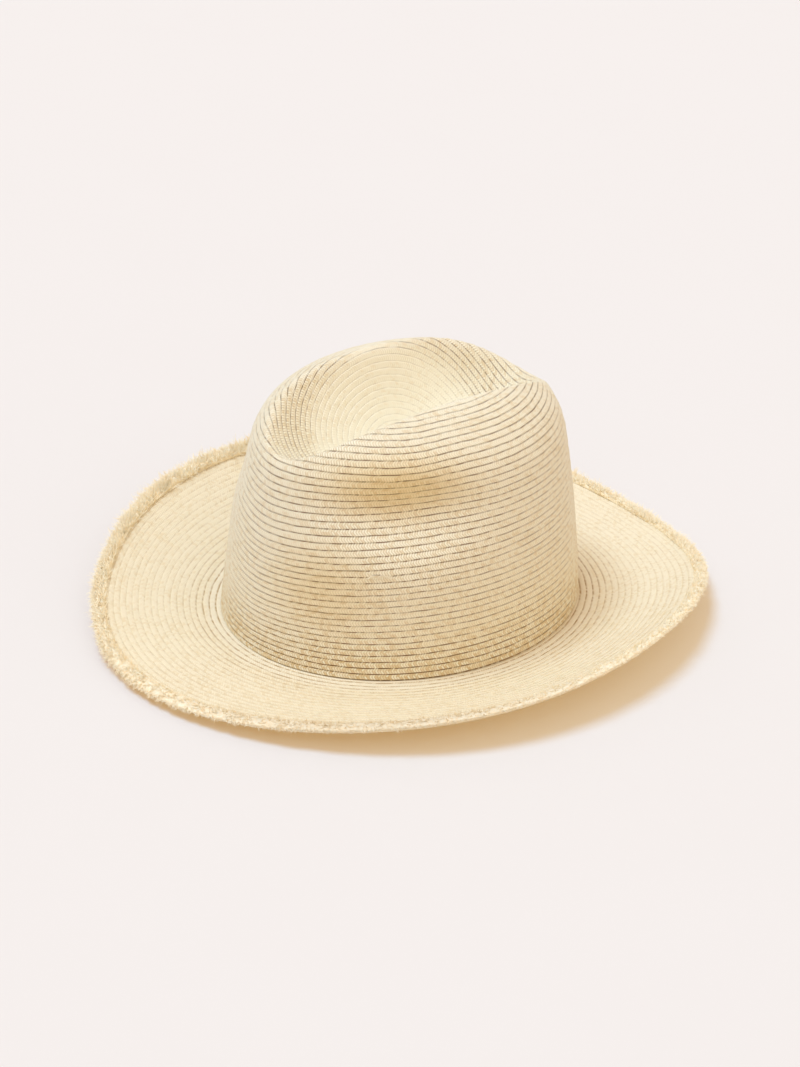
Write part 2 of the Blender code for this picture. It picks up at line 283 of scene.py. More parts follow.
@dataclass(frozen=True)
class Spot:
    """A soft spot of painted shade: its place, half sizes and strength, and the share of it that is full."""

    place: tuple[float, float, float]
    size: tuple[float, float, float]
    share: float
    core: float = 0.1

    def strength(self, graph: Graph) -> Socket:
        """Strength of the spot: a smooth step on the distance from its place, in its own half sizes.

        Args:
            graph: The wiring to add to.

        Returns:
            The strength, from 0 to the spot's share.
        """
        away = graph.node("VectorMath", {0: graph.place(), 1: self.place}, operation="SUBTRACT").outputs[0]
        away = graph.node("VectorMath", {0: away, 1: self.size}, operation="DIVIDE").outputs[0]
        length = graph.node("VectorMath", {0: away}, operation="LENGTH").outputs["Value"]
        return graph.times(graph.ramp(length, 1.0, self.core), self.share)


@dataclass(frozen=True)
class StrawFinish:
    """Plaited straw: slanted straws in a herringbone, with a painted shadow, dotted, in the groove under
    each lip.

    The pattern map runs in plaits along the braid and in courses across it. Over the soft courses, lit from
    above, the painted groove shadows, dots and partings grow faint and the tone grows paler: painted light.
    The foot courses by the headline have a tone of their own, with deeper groove shadows: darker and more
    golden, painted shade, on the crown, and paler, painted light, on the brim.
    Shade spots are painted shade: a darker, more golden tint over hollows of the crown.
    """

    name: str
    light: Colour = (1.0, 0.965, 0.80)
    dark: Colour = (0.76, 0.58, 0.30)
    gap: Colour = (0.54, 0.38, 0.165)
    # Colour of the painted shadow in the groove under each lip.
    groove: Colour = (0.19, 0.095, 0.027)
    pale: Colour = (1.0, 0.95, 0.79)
    # Tint of the painted shade in the shade spots.
    painted_shade: Colour = (0.88, 0.75, 0.52)
    glow: Colour = (1.0, 0.74, 0.40)
    shade_spots: tuple[Spot, ...] = ()
    strands: float = 2.0
    slant: float = 0.8
    straw_start: float = 0.02
    straw_full: float = 0.32
    gap_share: float = 0.64
    groove_share: float = 1.0
    groove_start: float = 0.77
    groove_full: float = 0.91
    hole_pitch: float = 0.8
    hole_share: float = 0.85
    dot_share: float = 0.7
    # Painted light: over the soft courses, lit from above, the painted groove and gap shade loses the soft
    # loss and the tone grows paler by the soft tone.
    soft_from: float = 40.0
    soft_to: float = 45.0
    soft_loss: float = 0.78
    soft_tone: float = 0.25
    # Painted shade and light at the foot courses: the foot shade makes the tone darker and more golden, the
    # foot deep deepens the groove shadows, and the foot pale makes the tone paler.
    foot_from: float = 10.0
    foot_to: float = 0.0
    foot_shade: float = 0.0
    foot_deep: float = 0.0
    foot_pale: float = 0.0
    tone: float = 1.05
    tint_spread: float = 1.0
    fine_pitch: float = 3.0
    fine_scale: float = 1.1
    fine_spread: float = 0.5
    cloud_scale: float = 34.0
    cloud_spread: float = 0.35
    detail: float = 3.0
    straw_height: float = 0.6
    tint_height: float = 0.4
    relief: float = 0.00022
    roughness: float = 0.62
    through: float = 0.05

    def material(self) -> bpy.types.Material:
        """Wires the finish.

        Returns:
            The material.
        """
        graph = Graph(self.name)
        along, courses = graph.pattern()
        across = graph.math("FRACT", courses)
        strand = graph.times(courses, self.strands)
        lean = graph.math("PINGPONG", strand, 1.0)
        stroke = graph.math("MULTIPLY_ADD", lean, self.slant, along)
        tint = graph.chance(graph.math("FLOOR", stroke), graph.math("FLOOR", strand))
        straw = graph.ramp(graph.math("PINGPONG", stroke, 0.5), self.straw_start, self.straw_full)
        groove = graph.ramp(across, self.groove_start, self.groove_full)
        grain = graph.vector(graph.times(along, self.fine_pitch), strand)
        fine = graph.about(graph.noise(grain, self.fine_scale, self.detail), self.fine_spread)
        cloud = graph.about(graph.noise(graph.place(), self.cloud_scale, self.detail), self.cloud_spread)
        # Painted light: the share of the soft courses, lit from above, where painted shade fades and the
        # tone grows paler.
        soft_share = graph.ramp(courses, self.soft_from, self.soft_to)
        faint = graph.math("MULTIPLY_ADD", soft_share, -self.soft_loss, 1.0)
        foot = graph.ramp(courses, self.foot_from, self.foot_to)
        # Painted shade darkens and golds the foot courses; painted light makes the soft courses paler.
        golden, paler = graph.times(foot, -self.foot_shade), graph.times(soft_share, self.soft_tone)
        tone = graph.add(self.tone, golden, paler, graph.about(tint, self.tint_spread), fine, cloud)
        colour = graph.mix(graph.clamp(tone), self.dark, self.light)
        # Painted light: the foot courses paler.
        colour = graph.mix(graph.times(foot, self.foot_pale), colour, self.pale)
        # Painted shade: each shade spot tints the colour darker and more golden.
        for spot in self.shade_spots:
            colour = graph.tinted(spot.strength(graph), colour, self.painted_shade)
        between = graph.math("SUBTRACT", 1.0, straw)
        colour = graph.mix(graph.times(between, self.gap_share, faint), colour, self.gap)
        spell = graph.math("FLOOR", graph.times(stroke, self.hole_pitch))
        hole = graph.times(graph.chance(spell, graph.math("FLOOR", courses)), self.hole_share)
        dots = graph.math("MULTIPLY_ADD", between, self.dot_share, hole)
        # Groove shadows, painted shade: deeper at the foot courses and faint over the soft courses.
        deep = graph.math("MULTIPLY_ADD", foot, self.foot_deep, faint)
        # Painted shadow in the groove under each lip, dotted where the plaits part.
        shade = graph.times(groove, dots, self.groove_share, deep)
        colour = graph.mix(graph.math("MINIMUM", shade, 1.0), colour, self.groove)
        height = graph.add(graph.times(straw, self.straw_height), graph.times(tint, self.tint_height))
        normal = graph.bump(height, self.relief)
        skin = graph.skin(colour, self.roughness, normal)
        return graph.close(graph.thin(skin, self.glow, self.through, normal))


@dataclass(frozen=True)
class FibreFinish:
    """Loose straw fibres: golden at the root, each with its own tint, and paler at the tip.

    The pattern map holds each fibre's own number along and its length across, from 0 to 1. Tufts
    and specks vary the tone from place to place, and shade spots are painted shade, a dimmer tint.
    """

    name: str
    root: Colour = (1.0, 0.88, 0.63)
    gold: Colour = (1.0, 0.82, 0.53)
    cream: Colour = (1.0, 0.945, 0.765)
    # Tint of the painted shade in the shade spots.
    painted_shade: Colour = (0.89, 0.86, 0.83)
    glow: Colour = (1.0, 0.86, 0.60)
    shade_spots: tuple[Spot, ...] = ()
    tone: float = 0.6
    tip_gain: float = 0.2
    tint_spread: float = 0.5
    tuft: float = 0.006
    tuft_spread: float = 1.2
    speck: float = 0.0012
    speck_spread: float = 2.8
    root_share: float = 0.35
    grain_pitch: float = 6.0
    grain_scale: float = 3.0
    relief: float = 0.00005
    roughness: float = 0.55
    sheen: float = 0.5
    through: float = 0.02

    def material(self) -> bpy.types.Material:
        """Wires the finish.

        Returns:
            The material.
        """
        graph = Graph(self.name)
        number, length = graph.pattern()
        tint = graph.about(graph.chance(graph.math("FLOOR", number), 1.0), self.tint_spread)
        tuft = graph.about(graph.noise(graph.place(), 1 / self.tuft), self.tuft_spread)
        speck = graph.about(graph.noise(graph.place(), 1 / self.speck), self.speck_spread)
        tone = graph.add(self.tone, graph.times(length, self.tip_gain), graph.add(tint, tuft, speck))
        colour = graph.mix(graph.clamp(tone), self.gold, self.cream)
        colour = graph.mix(graph.ramp(length, 0.0, self.root_share), self.root, colour)
        # Painted shade: each shade spot dims the fibres' colour.
        for spot in self.shade_spots:
            colour = graph.tinted(spot.strength(graph), colour, self.painted_shade)
        grain = graph.vector(number, graph.times(length, self.grain_pitch))
        normal = graph.bump(graph.noise(grain, self.grain_scale), self.relief)
        skin = graph.skin(colour, self.roughness, normal, self.sheen)
        return graph.close(graph.thin(skin, self.glow, self.through, normal))


@dataclass(frozen=True)
class RibbonFinish:
    """Woven cloth: ribs across the ribbon and a finer weft, with a cloudy tone.

    The pattern map runs in ribs along and in weft threads across.
    """

    name: str
    light: Colour
    dark: Colour
    rib_depth: float = 0.00012
    sheen: float = 0.25
    roughness: float = 0.70
    tone: float = 0.35
    thread_spread: float = 0.5
    weft_spread: float = 0.4
    weft_height: float = 0.5
    cloud_scale: float = 60.0
    cloud_spread: float = 0.7
    cloud_detail: float = 3.0

    def material(self) -> bpy.types.Material:
        """Wires the finish.

        Returns:
            The material.
        """
        graph = Graph(self.name)
        along, across = graph.pattern()
        rib, weft = graph.math("PINGPONG", along, 0.5), graph.math("PINGPONG", across, 0.5)
        thread = graph.chance(graph.math("FLOOR", along), graph.math("FLOOR", across))
        thread = graph.about(thread, self.thread_spread)
        cloud = graph.noise(graph.place(), self.cloud_scale, self.cloud_detail)
        cloud = graph.about(cloud, self.cloud_spread)
        tone = graph.add(rib, thread, cloud, graph.about(weft, self.weft_spread), self.tone)
        colour = graph.mix(graph.clamp(tone), self.dark, self.light)
        normal = graph.bump(graph.add(rib, graph.times(weft, self.weft_height)), self.rib_depth)
        return graph.close(graph.skin(colour, self.roughness, normal, self.sheen))


@dataclass(frozen=True)
class PileFinish:
    """Fuzzy or hooked fastener cloth: a crowd of small loops over a darker ground."""

    name: str
    light: Colour
    dark: Colour
    loop_size: float = 0.0009
    loop_rim: float = 0.65
    loop_top: float = 0.05
    fuzz_count: float = 3.0
    fuzz_detail: float = 3.0
    fuzz_spread: float = 0.6
    relief: float = 0.00025
    roughness: float = 0.85
    sheen: float = 0.5

    def material(self) -> bpy.types.Material:
        """Wires the finish.

        Returns:
            The material.
        """
        graph = Graph(self.name)
        loops = graph.node("TexVoronoi", {"Vector": graph.place(), "Scale": 1 / self.loop_size})
        near = graph.ramp(loops.outputs["Distance"], self.loop_rim, self.loop_top)
        fuzz = graph.noise(graph.place(), self.fuzz_count / self.loop_size, self.fuzz_detail)
        tone = graph.add(graph.about(fuzz, self.fuzz_spread), near)
        colour = graph.mix(graph.clamp(tone), self.dark, self.light)
        normal = graph.bump(graph.add(near, fuzz), self.relief)
        return graph.close(graph.skin(colour, self.roughness, normal, self.sheen))


@dataclass(frozen=True)
class FloorFinish:
    """Matt paper floor, clear from below so that the hat's inside can be seen.

    The camera sees the paper tinted and with a faint warm glow, so that bare paper looks near white
    and the shadow on it warm. Neither of them lights the hat.
    """

    name: str = "paper_floor"
    light: Colour = (0.806, 0.802, 0.798)
    dark: Colour = (0.794, 0.790, 0.786)
    seen: Colour = (0.542, 0.749, 0.937)
    glow: Colour = (0.40, 0.19, 0.03)
    grain_scale: float = 9.0
    roughness: float = 0.95
    relief: float = 0.0001

    def material(self) -> bpy.types.Material:
        """Wires the finish.

        Returns:
            The material.
        """
        graph = Graph(self.name)
        grain = graph.noise(graph.place(), self.grain_scale)
        camera = graph.node("LightPath").outputs["Is Camera Ray"]
        seen = graph.tinted(camera, graph.mix(grain, self.dark, self.light), self.seen)
        sockets = {"Base Color": seen, "Roughness": self.roughness, "Normal": graph.bump(grain, self.relief)}
        sockets |= {"Emission Color": self.glow, "Emission Strength": camera}
        skin = graph.node("BsdfPrincipled", sockets).outputs[0]
        clear = graph.node("BsdfTransparent").outputs[0]
        under = graph.node("NewGeometry").outputs["Backfacing"]
        return graph.close(graph.node("MixShader", {0: under, 1: skin, 2: clear}).outputs[0])


@dataclass
class Stock:
    """Gathers grids of points and four-sided faces into one mesh with a pattern map."""

    points: list[Array] = field(default_factory=list)
    faces: list[Array] = field(default_factory=list)
    maps: list[Array] = field(default_factory=list)
    count: int = 0

    def add(self, points: Array) -> Array:
        """Adds points and numbers them.

        Args:
            points: Points along the last axis.

        Returns:
            The points' numbers, in the shape of the other axes.
        """
        numbers = self.count + np.arange(points[..., 0].size).reshape(points.shape[:-1])
        self.points.append(points.reshape(-1, 3))
        self.count += numbers.size
        return numbers

    def quads(self, corners: Array, pattern: Array, face: Face = Face.OUTER) -> None:
        """Adds four-sided faces.

        Args:
            corners: Point numbers, four along the last axis.
            pattern: Pattern coordinates of the corners, or values that spread to them.
            face: The inner face turns the corners round.
        """
        pattern = np.broadcast_to(pattern, (*corners.shape, 2))
        self.faces.append(corners.reshape(-1, 4)[:, :: face.value])
        self.maps.append(pattern.reshape(-1, 4, 2)[:, :: face.value])

    def strip(self, first: Array, second: Array, pattern: Array) -> None:
        """Adds a wall between two rows of point numbers."""
        self.quads(cells(np.stack([first, second])), pattern)

    def shell(self, front: Array, back: Array, pattern: Array, keep: Array | None = None) -> None:
        """Adds a closed body between two matching grids, with a wall along every open border.

        Args:
            front: Points of the front face, rows by columns.
            back: Points of the back face.
            pattern: Pattern coordinates of the grid's points.
            keep: True for each cell that is there, or nothing for all of them.
        """
        outer, inner = self.add(front), self.add(back)
        keep = np.ones((front.shape[0] - 1, front.shape[1] - 1), bool) if keep is None else keep
        where = cells(pattern)[keep]
        self.quads(cells(outer)[keep], where)
        self.quads(cells(inner)[keep], where, Face.INNER)
        there = np.pad(keep, 1)
        rows, columns = np.nonzero(there[1:-1, 1:-1])
        for side, (down, across) in enumerate([(-1, 0), (0, 1), (1, 0), (0, -1)]):
            bare = ~there[rows + 1 + down, columns + 1 + across]
            start, end = side, (side + 1) % 4
            top, bottom = cells(outer)[rows[bare], columns[bare]], cells(inner)[rows[bare], columns[bare]]
            wall = np.stack([top[:, end], top[:, start], bottom[:, start], bottom[:, end]], axis=-1)
            self.quads(wall, cells(pattern)[rows[bare], columns[bare]][:, [end, start, start, end]])

    def strands(
        self, roots: Array, tips: Array, bulge: Array, width: Array, rings: int = 3, taper: float = 0.6
    ) -> None:
        """Adds slim four-sided strands, each on a parabola from its root to its tip.

        A point at share s of the length is root + s (tip - root) + 4 s (1 - s) bulge.

        Args:
            roots: Root points, one row each.
            tips: Tip points.
            bulge: How far the middle stands off the straight line.
            width: Width of each strand.
            rings: Number of rings of points along a strand.
            taper: Share of the width that is lost at the tip.
        """
        share = np.linspace(0, 1, rings)[None, :, None]
        axis = tips - roots
        side = unit(np.cross(axis, bulge + OFF_AXIS))
        other = unit(np.cross(side, axis))
        centre = roots[:, None] + share * axis[:, None] + 4 * share * (1 - share) * bulge[:, None]
        half = width[:, None, None] * (1 - taper * share) / 2
        offsets = [side[:, None] * half, other[:, None] * half * STRAND_FLAT]
        ring = np.stack([offsets[0], offsets[1], -offsets[0], -offsets[1]], axis=2)
        numbers = self.add(centre[:, :, None] + ring)
        around = np.roll(numbers, -1, axis=2)
        number = np.arange(len(roots))[:, None, None, None] + 0.5
        low, high = (np.linspace(0, 1, rings)[part][None, :, None, None] for part in (np.s_[:-1], np.s_[1:]))
        wall = np.stack([numbers[:, :-1], around[:, :-1], around[:, 1:], numbers[:, 1:]], axis=-1)
        length = np.broadcast_to(np.concatenate([low, low, high, high], axis=-1), wall.shape)
        self.quads(wall, np.stack([np.broadcast_to(number, wall.shape), length], axis=-1))
        flat = np.stack([np.broadcast_to(number[:, 0, 0], (len(roots), 4))] * 2, axis=-1)
        self.quads(numbers[:, 0, ::-1], flat * [1, 0])
        self.quads(numbers[:, -1], flat * [1, 0] + [0, 1])

    def piece(self, name: str, material: bpy.types.Material, weld: bool = True) -> bpy.types.Object:
        """Makes the mesh and its object, shaded smooth with sharp folds.

        Args:
            name: Name of the piece.
            material: Its finish.
            weld: Whether points that meet become one.

        Returns:
            The object, at the origin.
        """
        points, faces = np.concatenate(self.points), np.concatenate(self.faces)
        mesh = bpy.data.meshes.new(name)
        mesh.vertices.add(len(points))
        mesh.vertices.foreach_set("co", points.astype(np.float32).ravel())
        mesh.loops.add(faces.size)
        mesh.loops.foreach_set("vertex_index", faces.astype(np.int32).ravel())
        mesh.polygons.add(len(faces))
        mesh.polygons.foreach_set("loop_start", np.arange(0, faces.size, 4, dtype=np.int32))
        layer = mesh.uv_layers.new(name=PATTERN)
        layer.data.foreach_set("uv", np.concatenate(self.maps).astype(np.float32).ravel())
        mesh.update(calc_edges=True)
        mesh.validate()
        form = bmesh.new()
        form.from_mesh(mesh)
        if weld:
            bmesh.ops.remove_doubles(form, verts=form.verts, dist=WELD)
        loose = [corner for corner in form.verts if not corner.link_faces]
        bmesh.ops.delete(form, geom=loose, context="VERTS")
        form.to_mesh(mesh)
        form.free()
        mesh.shade_smooth()
        mesh.set_sharp_from_angle(angle=SHARP_FOLD)
        mesh.materials.append(material)
        made = bpy.data.objects.new(name, mesh)
        bpy.context.scene.collection.objects.link(made)
        return made


def fit(piece: bpy.types.Object, body: Body, slot: Slot, *nodes: str) -> None:
    """Puts a piece on its body, in place of solids of the part.

    Args:
        piece: The piece.
        body: The body that it rides on.
        slot: The record's slot for its finish, not used.
        nodes: Names of the solids that it stands for.
    """
    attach(piece, body.value)
    if nodes:
        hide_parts(*nodes)
    log.info("%s: %d faces, rides on %s", piece.name, len(piece.data.polygons), body.value)


class Surface(Protocol):
    """A face of the hat that braid is sewn over."""

    length: float

    def place(self, distance: Array, turn: Array) -> tuple[Array, Array]:
        """Points and ways out at distances along the face and turns round it."""


@dataclass(frozen=True)
class CrownForm:
    """Outer face of the crown: a leaning wall, a round shoulder and a tip pressed into a crease."""

    half_width: float
    half_length: float
    foot: float
    wall: float = 0.097
    lean_foot: float = math.radians(4.2)
    lean_top: float = math.radians(10.8)
    shoulder: float = 0.045
    tip_slope: float = math.radians(24.0)
    tip_round: float = 0.040
    rake: float = 0.0040
    rake_height: float = 0.140
    crease_floor: float = 0.089
    crease_centre: float = -0.003
    crease_front: float = 0.082
    crease_front_rise: float = 0.017
    crease_back: float = 0.078
    crease_back_rise: float = 0.019
    crease_radius: float = 0.0145
    crease_blend: float = 0.008
    pinch_near: float = 0.0095
    pinch_far: float = 0.0042
    pinch_forward: float = 0.051
    pinch_height: float = 0.090
    pinch_length: float = 0.034
    pinch_tall: float = 0.018
    pinch_fade: float = 0.030
    bulge: float = 0.0014
    bulge_forward: float = 0.055
    bulge_height: float = 0.062
    bulge_length: float = 0.045
    bulge_tall: float = 0.018
    dip_half: float = math.radians(72.0)
    dip_soft: float = math.radians(10.0)
    dip_power: float = 1.5
    dip_low: float = 0.009
    dip_most: float = 0.0125
    dip_shares: tuple[float, ...] = (0.4, 0.75, 1.1)
    dip_end: float = 0.175
    samples: int = 400
    step: float = 0.0004
    length: float = 0.2115

    @cached_property
    def profile(self) -> tuple[Array, Array, Array]:
        """Meridian before the crease: the sums of small steps along the wall, shoulder and dome.

        Returns:
            Climb from the foot, half width and height above the foot.
        """
        start = math.pi / 2 - self.lean_top
        wall = np.linspace(0.0, self.wall, self.samples)
        lean = self.lean_foot + (self.lean_top - self.lean_foot) * wall / self.wall
        bend = np.linspace(0.0, self.shoulder * (start - self.tip_slope), self.samples)[1:]
        climb = np.concatenate([wall, self.wall + bend])
        slope = np.concatenate([math.pi / 2 - lean, start - bend / self.shoulder])
        steps, middle = np.diff(climb), (slope[1:] + slope[:-1]) / 2
        width = self.half_width - np.concatenate([[0.0], np.cumsum(steps * np.cos(middle))])
        height = np.concatenate([[0.0], np.cumsum(steps * np.sin(middle))])
        dome = width[-1] / math.sin(self.tip_slope)
        over = np.linspace(0.0, dome * self.tip_slope, self.samples)[1:]
        tip = self.tip_slope - over / dome
        top = height[-1] + dome * (np.cos(tip) - math.cos(self.tip_slope))
        return (
            np.concatenate([climb, climb[-1] + over]),
            np.concatenate([width, dome * np.sin(tip)]),
            np.concatenate([height, top]),
        )

    def crease(self, x: Array, y: Array, z: Array) -> Array:
        """Lowers points into the top crease by a smooth minimum, and pinches and bulges the front sides.

        Args:
            x: Places across the hat.
            y: Places along the hat.
            z: Heights before the crease.

        Returns:
            The creased points.
        """
        along = y - self.crease_centre
        front = self.crease_front_rise * np.abs(along / self.crease_front) ** 3
        back = self.crease_back_rise * np.abs(along / self.crease_back) ** 3
        rise = np.where(along < 0, front, back)
        trough = self.foot + self.crease_floor + rise + x**2 / (2 * self.crease_radius)
        share = np.clip(0.5 + 0.5 * (trough - z) / self.crease_blend, 0, 1)
        low = trough * (1 - share) + z * share - self.crease_blend * share * (1 - share)
        forward = (y + self.pinch_forward) / self.pinch_length
        above = (low - self.foot - self.pinch_height) / self.pinch_tall
        pinch = np.where(x > 0, self.pinch_near, self.pinch_far) * np.exp(-(forward**2) - above**2)
        forward = (y + self.bulge_forward) / self.bulge_length
        above = (low - self.foot - self.bulge_height) / self.bulge_tall
        pinch = pinch - self.bulge * np.exp(-(forward**2) - above**2)
        pinch = pinch * np.clip(np.abs(x) / self.pinch_fade, 0, 1)
        return np.stack([x - np.sign(x) * pinch, y, low], axis=-1)

    def points(self, climb: Array, turn: Array) -> Array:
        """Points at climbs from the foot and turns round the hat.

        Args:
            climb: Climbs along the meridian before the crease.
            turn: Turns round the hat.

        Returns:
            The points on the outer face.
        """
        width = np.interp(climb, self.profile[0], self.profile[1])
        height = np.interp(climb, self.profile[0], self.profile[2])
        roundness = np.clip(1 - width / self.tip_round, 0, 1) ** 2
        length = width + (self.half_length - self.half_width) * (1 - roundness)
        x = width * np.sin(turn)
        y = -length * np.cos(turn) - self.rake * height / self.rake_height
        return self.crease(x, y, self.foot + height)

    def ways_out(self, climb: Array, turn: Array) -> Array:
        """Normals of the outer face: the way round crossed with the way up.

        Args:
            climb: Climbs along the meridian.
            turn: Turns round the hat.

        Returns:
            Vectors of length one.
        """
        up = self.points(climb + self.step, turn) - self.points(climb - self.step, turn)
        around = self.points(climb, turn + self.step) - self.points(climb, turn - self.step)
        inside = (climb < self.profile[0][-1] - self.step)[..., None]
        return np.where(inside, unit(np.cross(around, up)), [0.0, 0.0, 1.0])

    def layer(self, climb: Array, turn: Array, depth: Array) -> Array:
        """Points at a depth below the outer face."""
        climb, turn, depth = np.broadcast_arrays(climb, turn, depth)
        return self.points(climb, turn) - depth[..., None] * self.ways_out(climb, turn)

    def dip(self, distance: Array, turn: Array) -> Array:
        """How far the courses sag towards the front, where the crown was pressed by hand.

        Across, the sag is a power of what is left of the turn. Up the crown it grows from the
        foot to the middle of the wall and dies out on the tip.

        Args:
            distance: Sewn distances from the foot.
            turn: Turns round the hat.

        Returns:
            Distances that the courses lie below their level.
        """
        away = np.abs((turn + math.pi) % FULL_TURN - math.pi)
        across = np.clip(1 - np.hypot(away, self.dip_soft) / self.dip_half, 0, 1) ** self.dip_power
        levels = [0.0, *(share * self.wall for share in self.dip_shares), self.dip_end]
        return across * np.interp(distance, levels, [0.0, self.dip_low, self.dip_most, self.dip_low, 0.0])

    def place(self, distance: Array, turn: Array) -> tuple[Array, Array]:
        """Points and ways out at sewn distances from the foot.

        Up to the ridge a sewn distance is the true length along the creased face. Beyond it the
        lengths are drawn out evenly, so that every meridian reaches the tip together.

        Args:
            distance: Sewn distances, rows by columns.
            turn: Turn of each column.

        Returns:
            The points and the ways out.
        """
        climb = np.linspace(0, self.profile[0][-1], 2 * self.samples)
        path = self.points(climb[:, None], turn[None, :])
        steps = np.linalg.norm(np.diff(path, axis=0), axis=-1)
        sewn = np.concatenate([np.zeros((1, turn.size)), np.cumsum(steps, axis=0)])
        ridge = np.take_along_axis(sewn, path[..., 2].argmax(axis=0)[None, :], axis=0)
        drawn = ridge + (sewn - ridge) * (self.length - ridge) / (sewn[-1:] - ridge)
        sewn = np.where(sewn <= ridge, sewn, drawn)
        laid = distance - self.dip(distance, turn[None, :])
        pairs = zip(laid.T, sewn.T)
        reached = np.stack([np.interp(wanted, table, climb) for wanted, table in pairs], axis=-1)
        return self.points(reached, turn[None, :]), self.ways_out(reached, turn[None, :])

    def place_each(self, distance: Array, turn: Array) -> tuple[Array, Array]:
        """Points and ways out at places that each have their own turn, on the wall below the ridge."""
        flat = self.place(distance.reshape(1, -1), turn.reshape(-1))
        return flat[0].reshape(*distance.shape, 3), flat[1].reshape(*distance.shape, 3)


@dataclass(frozen=True)
class BrimForm:
    """Top face of the brim: a flat land, then a sweep up to an edge that is high at the sides."""

    half_width: float
    half_length: float
    top: float
    land: float = 0.004
    width: float = 0.0695
    ledge: float = 0.005
    curl: float = 1.4
    lift_front: float = 0.0035
    lift_front_quarter: float = 0.0118
    lift_side: float = 0.0225
    lift_back_quarter: float = 0.0180
    lift_back: float = 0.0015
    wave: float = 0.0034
    wave_turn: float = math.radians(-41)
    wave_count: int = 4
    lift_least: float = -0.002
    lift_most: float = 0.030
    lift_samples: int = 65
    reach_most: float = 1.25
    samples: int = 200
    step: float = 0.0004

    @property
    def length(self) -> float:
        """Distance from the edge in to the ledge under the sweatband."""
        return self.width + self.ledge

    def edge_lift(self, turn: Array) -> Array:
        """Height of the edge above the land: a cosine series through the five stations.

        Args:
            turn: Turns round the hat.

        Returns:
            The heights.
        """
        front, back = (self.lift_front, self.lift_front_quarter), (self.lift_back_quarter, self.lift_back)
        stations = np.array([*front, self.lift_side, *back])
        order = np.arange(stations.size)
        angles = order * math.pi / (stations.size - 1)
        series = np.linalg.solve(np.cos(np.outer(angles, order)), stations)
        return np.tensordot(series, np.cos(np.multiply.outer(order, turn)), axes=1)

    @cached_property
    def table(self) -> tuple[Array, Array, Array]:
        """Run outwards over a grid of lifts and reaches: the sum of the level parts of small steps.

        Returns:
            Lifts, reaches beyond the land, and the outward run for each pair.
        """
        lifts = np.linspace(self.lift_least, self.lift_most, self.lift_samples)
        reaches = np.linspace(0, self.reach_most * (self.width - self.land), self.samples)
        climb = lifts[:, None] * (reaches / (self.width - self.land)) ** self.curl
        level = np.sqrt(np.maximum(np.diff(reaches) ** 2 - np.diff(climb, axis=1) ** 2, 0))
        return lifts, reaches, np.concatenate([np.zeros((lifts.size, 1)), np.cumsum(level, axis=1)], axis=1)

    def wave_out(self, reach: Array, turn: Array) -> Array:
        """Uneven edge on one side: in at the wave's own turn and out at both sides of it.

        The wave is a cosine round the hat, times a squared cosine hump that keeps it on its own side,
        times the cube of the share of the brim's width.

        Args:
            reach: Distances along the brim.
            turn: Turns round the hat.

        Returns:
            The further run outwards.
        """
        away = turn - self.wave_turn
        hump = (0.5 + 0.5 * np.cos(away)) ** 2
        share = np.maximum(reach, 0) / self.width
        return -self.wave * np.cos(self.wave_count * away) * hump * share**3

    def points(self, reach: Array, turn: Array) -> Array:
        """Points at reaches from the crown's foot along the brim.

        Args:
            reach: Distances along the brim.
            turn: Turns round the hat.

        Returns:
            The points on the top face.
        """
        reach, turn = np.broadcast_arrays(reach, turn)
        beyond = np.maximum(reach - self.land, 0)
        lift = self.edge_lift(turn)
        climb = lift * (beyond / (self.width - self.land)) ** self.curl
        lifts, reaches, runs = self.table
        row = np.clip((lift - lifts[0]) / (lifts[1] - lifts[0]), 0, lifts.size - LAST_CELL)
        column = np.clip(beyond / reaches[1], 0, reaches.size - LAST_CELL)
        low, left = row.astype(int), column.astype(int)
        up, over = row - low, column - left
        near = runs[low, left] * (1 - over) + runs[low, left + 1] * over
        far = runs[low + 1, left] * (1 - over) + runs[low + 1, left + 1] * over
        out = np.minimum(reach, self.land) + near * (1 - up) + far * up + self.wave_out(reach, turn)
        x = (self.half_width + out) * np.sin(turn)
        y = -(self.half_length + out) * np.cos(turn)
        return np.stack([x, y, self.top + climb], axis=-1)

    def axes(self, reach: Array, turn: Array) -> tuple[Array, Array, Array]:
        """Ways outwards, round and up at places on the brim.

        Args:
            reach: Distances along the brim.
            turn: Turns round the hat.

        Returns:
            Three vectors of length one at each place.
        """
        out = unit(self.points(reach + self.step, turn) - self.points(reach - self.step, turn))
        around = unit(self.points(reach, turn + self.step) - self.points(reach, turn - self.step))
        return out, around, unit(np.cross(out, around))

    def layer(self, reach: Array, turn: Array, height: Array) -> Array:
        """Points at a height above the top face."""
        reach, turn, height = np.broadcast_arrays(reach, turn, height)
        return self.points(reach, turn) + height[..., None] * self.axes(reach, turn)[2]

    def place(self, distance: Array, turn: Array) -> tuple[Array, Array]:
        """Points and ways up at distances in from the edge."""
        reach = self.width - distance
        return self.points(reach, turn[None, :]), self.axes(reach, np.broadcast_to(turn, reach.shape))[2]


